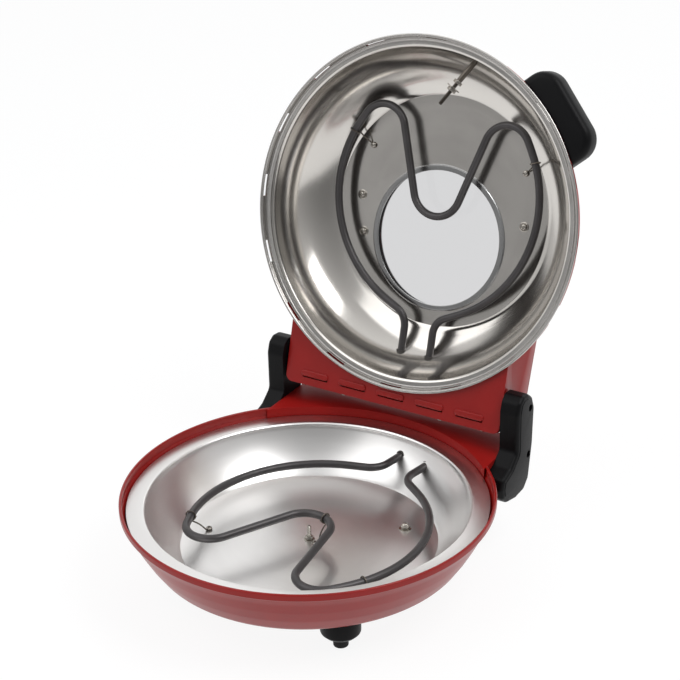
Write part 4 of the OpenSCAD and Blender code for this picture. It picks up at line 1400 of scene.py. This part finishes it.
@dataclass
class LidBack(Assembly):
    """The lid's rear box, its louvred plate and the handle."""
    box_hw: float = 120.3
    wall: float = 1.8
    plate_h: float = 5.6
    louvre_step: float = 43.5
    handle_turn: float = -41.4
    handle_reach: float = 196.0
    handle_hw: float = 46.0

    def build(self) -> None:
        """Builds the box, the plate and the handle."""
        box = refined("lid_box", "rear_box", 0.7, corner=self.box_corner, corner_r=6.0)
        self.sign(box, Slot.RED_PAINT, Body.LID, "lid_box")
        self.plate()
        self.handle()

    def box_corner(self, edge: bmesh.types.BMEdge) -> bool:
        """Says whether an edge is one of the box's two upright corners behind the plate."""
        back = lid_place().inverted()
        low, high = (back @ vert.co for vert in edge.verts)
        wall = self.wall * MM
        upright = abs(low.x - high.x) < 0.2 * MM and abs(low.y - high.y) < 0.2 * MM
        return (upright and abs(low.z - high.z) > 20 * MM and abs(low.x) > self.box_hw * MM - wall
                and low.y > self.box_y * MM - wall)

    def plate(self) -> None:
        """The plate round the dome's foot, with five raised louvres."""
        r, hw = self.dome_r + 0.1, self.box_hw
        start = math.acos(hw / r)
        rim = ring_points((0, 0), r, 64, math.pi - start, 2 * start - math.pi)
        corners = [(hw, self.box_y, 7.0), (-hw, self.box_y, 7.0)]
        outline = fillet([*((a, b, 0.0) for a, b in rim), *corners], 6, loop=True)
        middles = [i * self.louvre_step for i in range(-2, 3)]
        slots = [self.capsule((x + 0.5, 182.5), 29.0, 1.8) for x in middles]
        sheet = slab("plate_sheet", outline, 0.8, 0.0, slots)
        settle(sheet, shift(0, 0, self.plate_h - 0.4))
        hood = slab("louvre", self.capsule((0, 0), 31.0, 6.4), 3.6, 1.0)
        hoods = at_places(hood, [shift(x, 179.0, self.plate_h - 0.4) for x in middles])
        edit(hoods)
        cut_at((0, 0, self.plate_h - 0.3), (0, 0, 1), clear_outer=True)
        done()
        piece = joined("louvred_plate", sheet, hoods)
        self.fit(piece, 40, lid_place(), Slot.RED_PAINT, Body.LID, "lid_box_plate")

    @staticmethod
    def capsule(middle: Point, length: float, width: float) -> list[Point]:
        """Returns the outline of a slot with round ends, from its middle, length and width."""
        far = (length - width) / 2
        return [*ring_points((middle[0] + far, middle[1]), width / 2, 10, -math.pi / 2, math.pi),
                *ring_points((middle[0] - far, middle[1]), width / 2, 10, math.pi / 2, math.pi)]

    def handle(self) -> None:
        """The handle: a rounded block that meets the dome."""
        hw, reach = self.handle_hw, self.handle_reach
        outline = fillet([(152, -hw, 0.0), (reach, -hw, 22), (reach, hw, 22), (152, hw, 0.0)], 12, loop=True)
        piece = slab("lid_grip", outline, 23.0, 6.5)
        settle(piece, turn(self.handle_turn) @ shift(0, 0, 14.5))
        profile = [(172.15, -6), (172.15, 6), (165.2, 20), (153.2, 39.5), (143.2, 56), (100, 72)]
        core = lathe("core", profile, 192, Ends.FLAT)
        edit(core)
        select_where(core, "EDGE", lambda e: e.is_boundary)
        bpy.ops.mesh.edge_face_add()
        done()
        face_out(core)
        combine(piece, core)
        self.fit(piece, 35, lid_place(), Slot.BLACK_PLASTIC, Body.LID, "lid_handle")


@dataclass
class FeetAndCord(Assembly):
    """The feet, their pads and the cord's gland."""

    def build(self) -> None:
        """Rounds each moulded piece."""
        for node, name, slot, width in (("front_feet", "front_foot_blocks", Slot.BLACK_PLASTIC, 1.0),
                                        ("rear_feet", "rear_foot_blocks", Slot.BLACK_PLASTIC, 0.8),
                                        ("foot_pads", "rubber_soles", Slot.RUBBER, 1.2),
                                        ("cord_gland", "cord_bushing", Slot.BLACK_PLASTIC, 0.6)):
            self.sign(refined(node, name, width, 3), slot, Body.BASE, node)


# ---------------------------------------------------------------- stage
@dataclass
class Studio:
    """Floor, light, world and camera."""
    target: Corner = (0.0380, -0.0584, 0.2565)
    spot: Corner = (0.8411, -1.3571, 0.9885)
    roll: float = -1.07
    lens: float = 101.8
    floor_glow: float = 1.07
    floor_share: float = 0.84
    sky: float = 0.45
    mirror_way: Corner = (-0.35, 0.75, 0.4)
    mirror_span: tuple[float, float, float, float] = (-0.85, 0.65, 0.15, 1.0)

    def build(self) -> None:
        """Builds the whole stage."""
        self.floor()
        self.world()
        self.lamp("key", (-1.0, -1.3, 1.75), 2.0, 15.0)
        self.lamp("top", (1.0, 0.0, 1.68), 0.9, 12.0)
        self.lamp("back", (-0.3, 1.6, 1.6), 1.4, 5.0)
        self.camera()

    def floor(self) -> None:
        """A plain white floor that keeps a soft part of the shadow."""
        deselect()
        bpy.ops.mesh.primitive_plane_add(size=8.0, location=(0, 0, -0.0002))
        piece = bpy.context.active_object
        piece.name = "floor"
        material, board, shader = blank("floor_white")
        board.feed(shader, {
            "Base Color": board.mix(board.noise(board.object_place(), 60.0), (0.86, 0.86, 0.86),
                                    (0.84, 0.84, 0.84)),
            "Roughness": 0.7,
            "Specular IOR Level": 0.2,
        })
        lit = shader.outputs[0]
        glow = board.add("Emission", {"Color": (1, 1, 1, 1), "Strength": self.floor_glow}).outputs[0]
        shown = board.add("MixShader", {0: self.floor_share, 1: lit, 2: glow}).outputs[0]
        choice = board.add("MixShader", {0: self.seen(board), 1: lit, 2: shown}).outputs[0]
        board.feed(material.node_tree.nodes["Material Output"], {"Surface": choice})
        piece.data.materials.append(material)

    def world(self) -> None:
        """A soft even world that camera and glass rays see as white, and mirror rays with a darker side."""
        world = bpy.data.worlds.new("studio")
        bpy.context.scene.world = world
        world.use_nodes = True
        board = Shader(world.node_tree)
        light = world.node_tree.nodes["Background"]
        board.feed(light, {"Color": (0.92, 0.94, 0.97, 1), "Strength": self.sky})
        ray = board.add("LightPath").outputs
        way = board.add("VectorMath", {0: board.add("TexCoord").outputs["Generated"], 1: self.mirror_way},
                        operation="DOT_PRODUCT").outputs["Value"]
        fall = board.math("MAXIMUM", ray["Is Camera Ray"], board.math(
            "MAXIMUM", ray["Is Transmission Ray"], board.span(way, *self.mirror_span)))
        white = board.add("Background", {"Color": (1, 1, 1, 1), "Strength": fall})
        choice = board.add("MixShader", {0: self.seen(board), 1: light.outputs[0], 2: white.outputs[0]})
        board.feed(world.node_tree.nodes["World Output"], {"Surface": choice.outputs[0]})

    @staticmethod
    def seen(board: Shader) -> Socket:
        """Returns 1 for camera, mirror and glass rays, which see the white background, and 0 for others."""
        ray = board.add("LightPath").outputs
        return board.math("MAXIMUM", ray["Is Camera Ray"], board.math(
            "MAXIMUM", ray["Is Glossy Ray"], ray["Is Transmission Ray"]))

    def lamp(self, name: str, place: Corner, size: float, power: float) -> None:
        """Adds one square area lamp that looks at the part.

        Args:
            name: the lamp's name.
            place: where it stands, in metres.
            size: its side in metres.
            power: its power in watts.
        """
        data = bpy.data.lights.new(name, "AREA")
        data.size = size
        data.energy = power
        lamp = bpy.data.objects.new(name, data)
        bpy.context.scene.collection.objects.link(lamp)
        way = Vector(self.target) - Vector(place)
        lamp.location = place
        lamp.rotation_euler = way.to_track_quat("-Z", "Y").to_euler()

    def camera(self) -> None:
        """Adds the camera."""
        data = bpy.data.cameras.new("camera")
        data.lens = self.lens
        data.sensor_width = 36.0
        data.clip_start = 0.1
        camera = bpy.data.objects.new("camera", data)
        bpy.context.scene.collection.objects.link(camera)
        back = (Vector(self.spot) - Vector(self.target)).normalized()
        right = Vector((0, 0, 1)).cross(back).normalized()
        up = back.cross(right)
        roll = math.radians(self.roll)
        across = right * math.cos(roll) + up * math.sin(roll)
        tall = back.cross(across)
        facing_part = Matrix((across, tall, back)).transposed().to_4x4()
        camera.matrix_world = Matrix.Translation(self.spot) @ facing_part
        bpy.context.scene.camera = camera
        bpy.context.scene.view_settings.view_transform = "Standard"


def main() -> None:
    """Builds the stage and every sub-assembly in order."""
    logging.basicConfig(level=logging.INFO, format="%(message)s")
    Studio().build()
    finishes = Finishes()
    for kind in (CadDress, BaseShells, LidShells, Window, Elements, Hardware, Arms, LidBack, FeetAndCord):
        log.info("building %s", kind.__name__)
        kind(finishes).build()


if __name__ == "__main__":
    main()
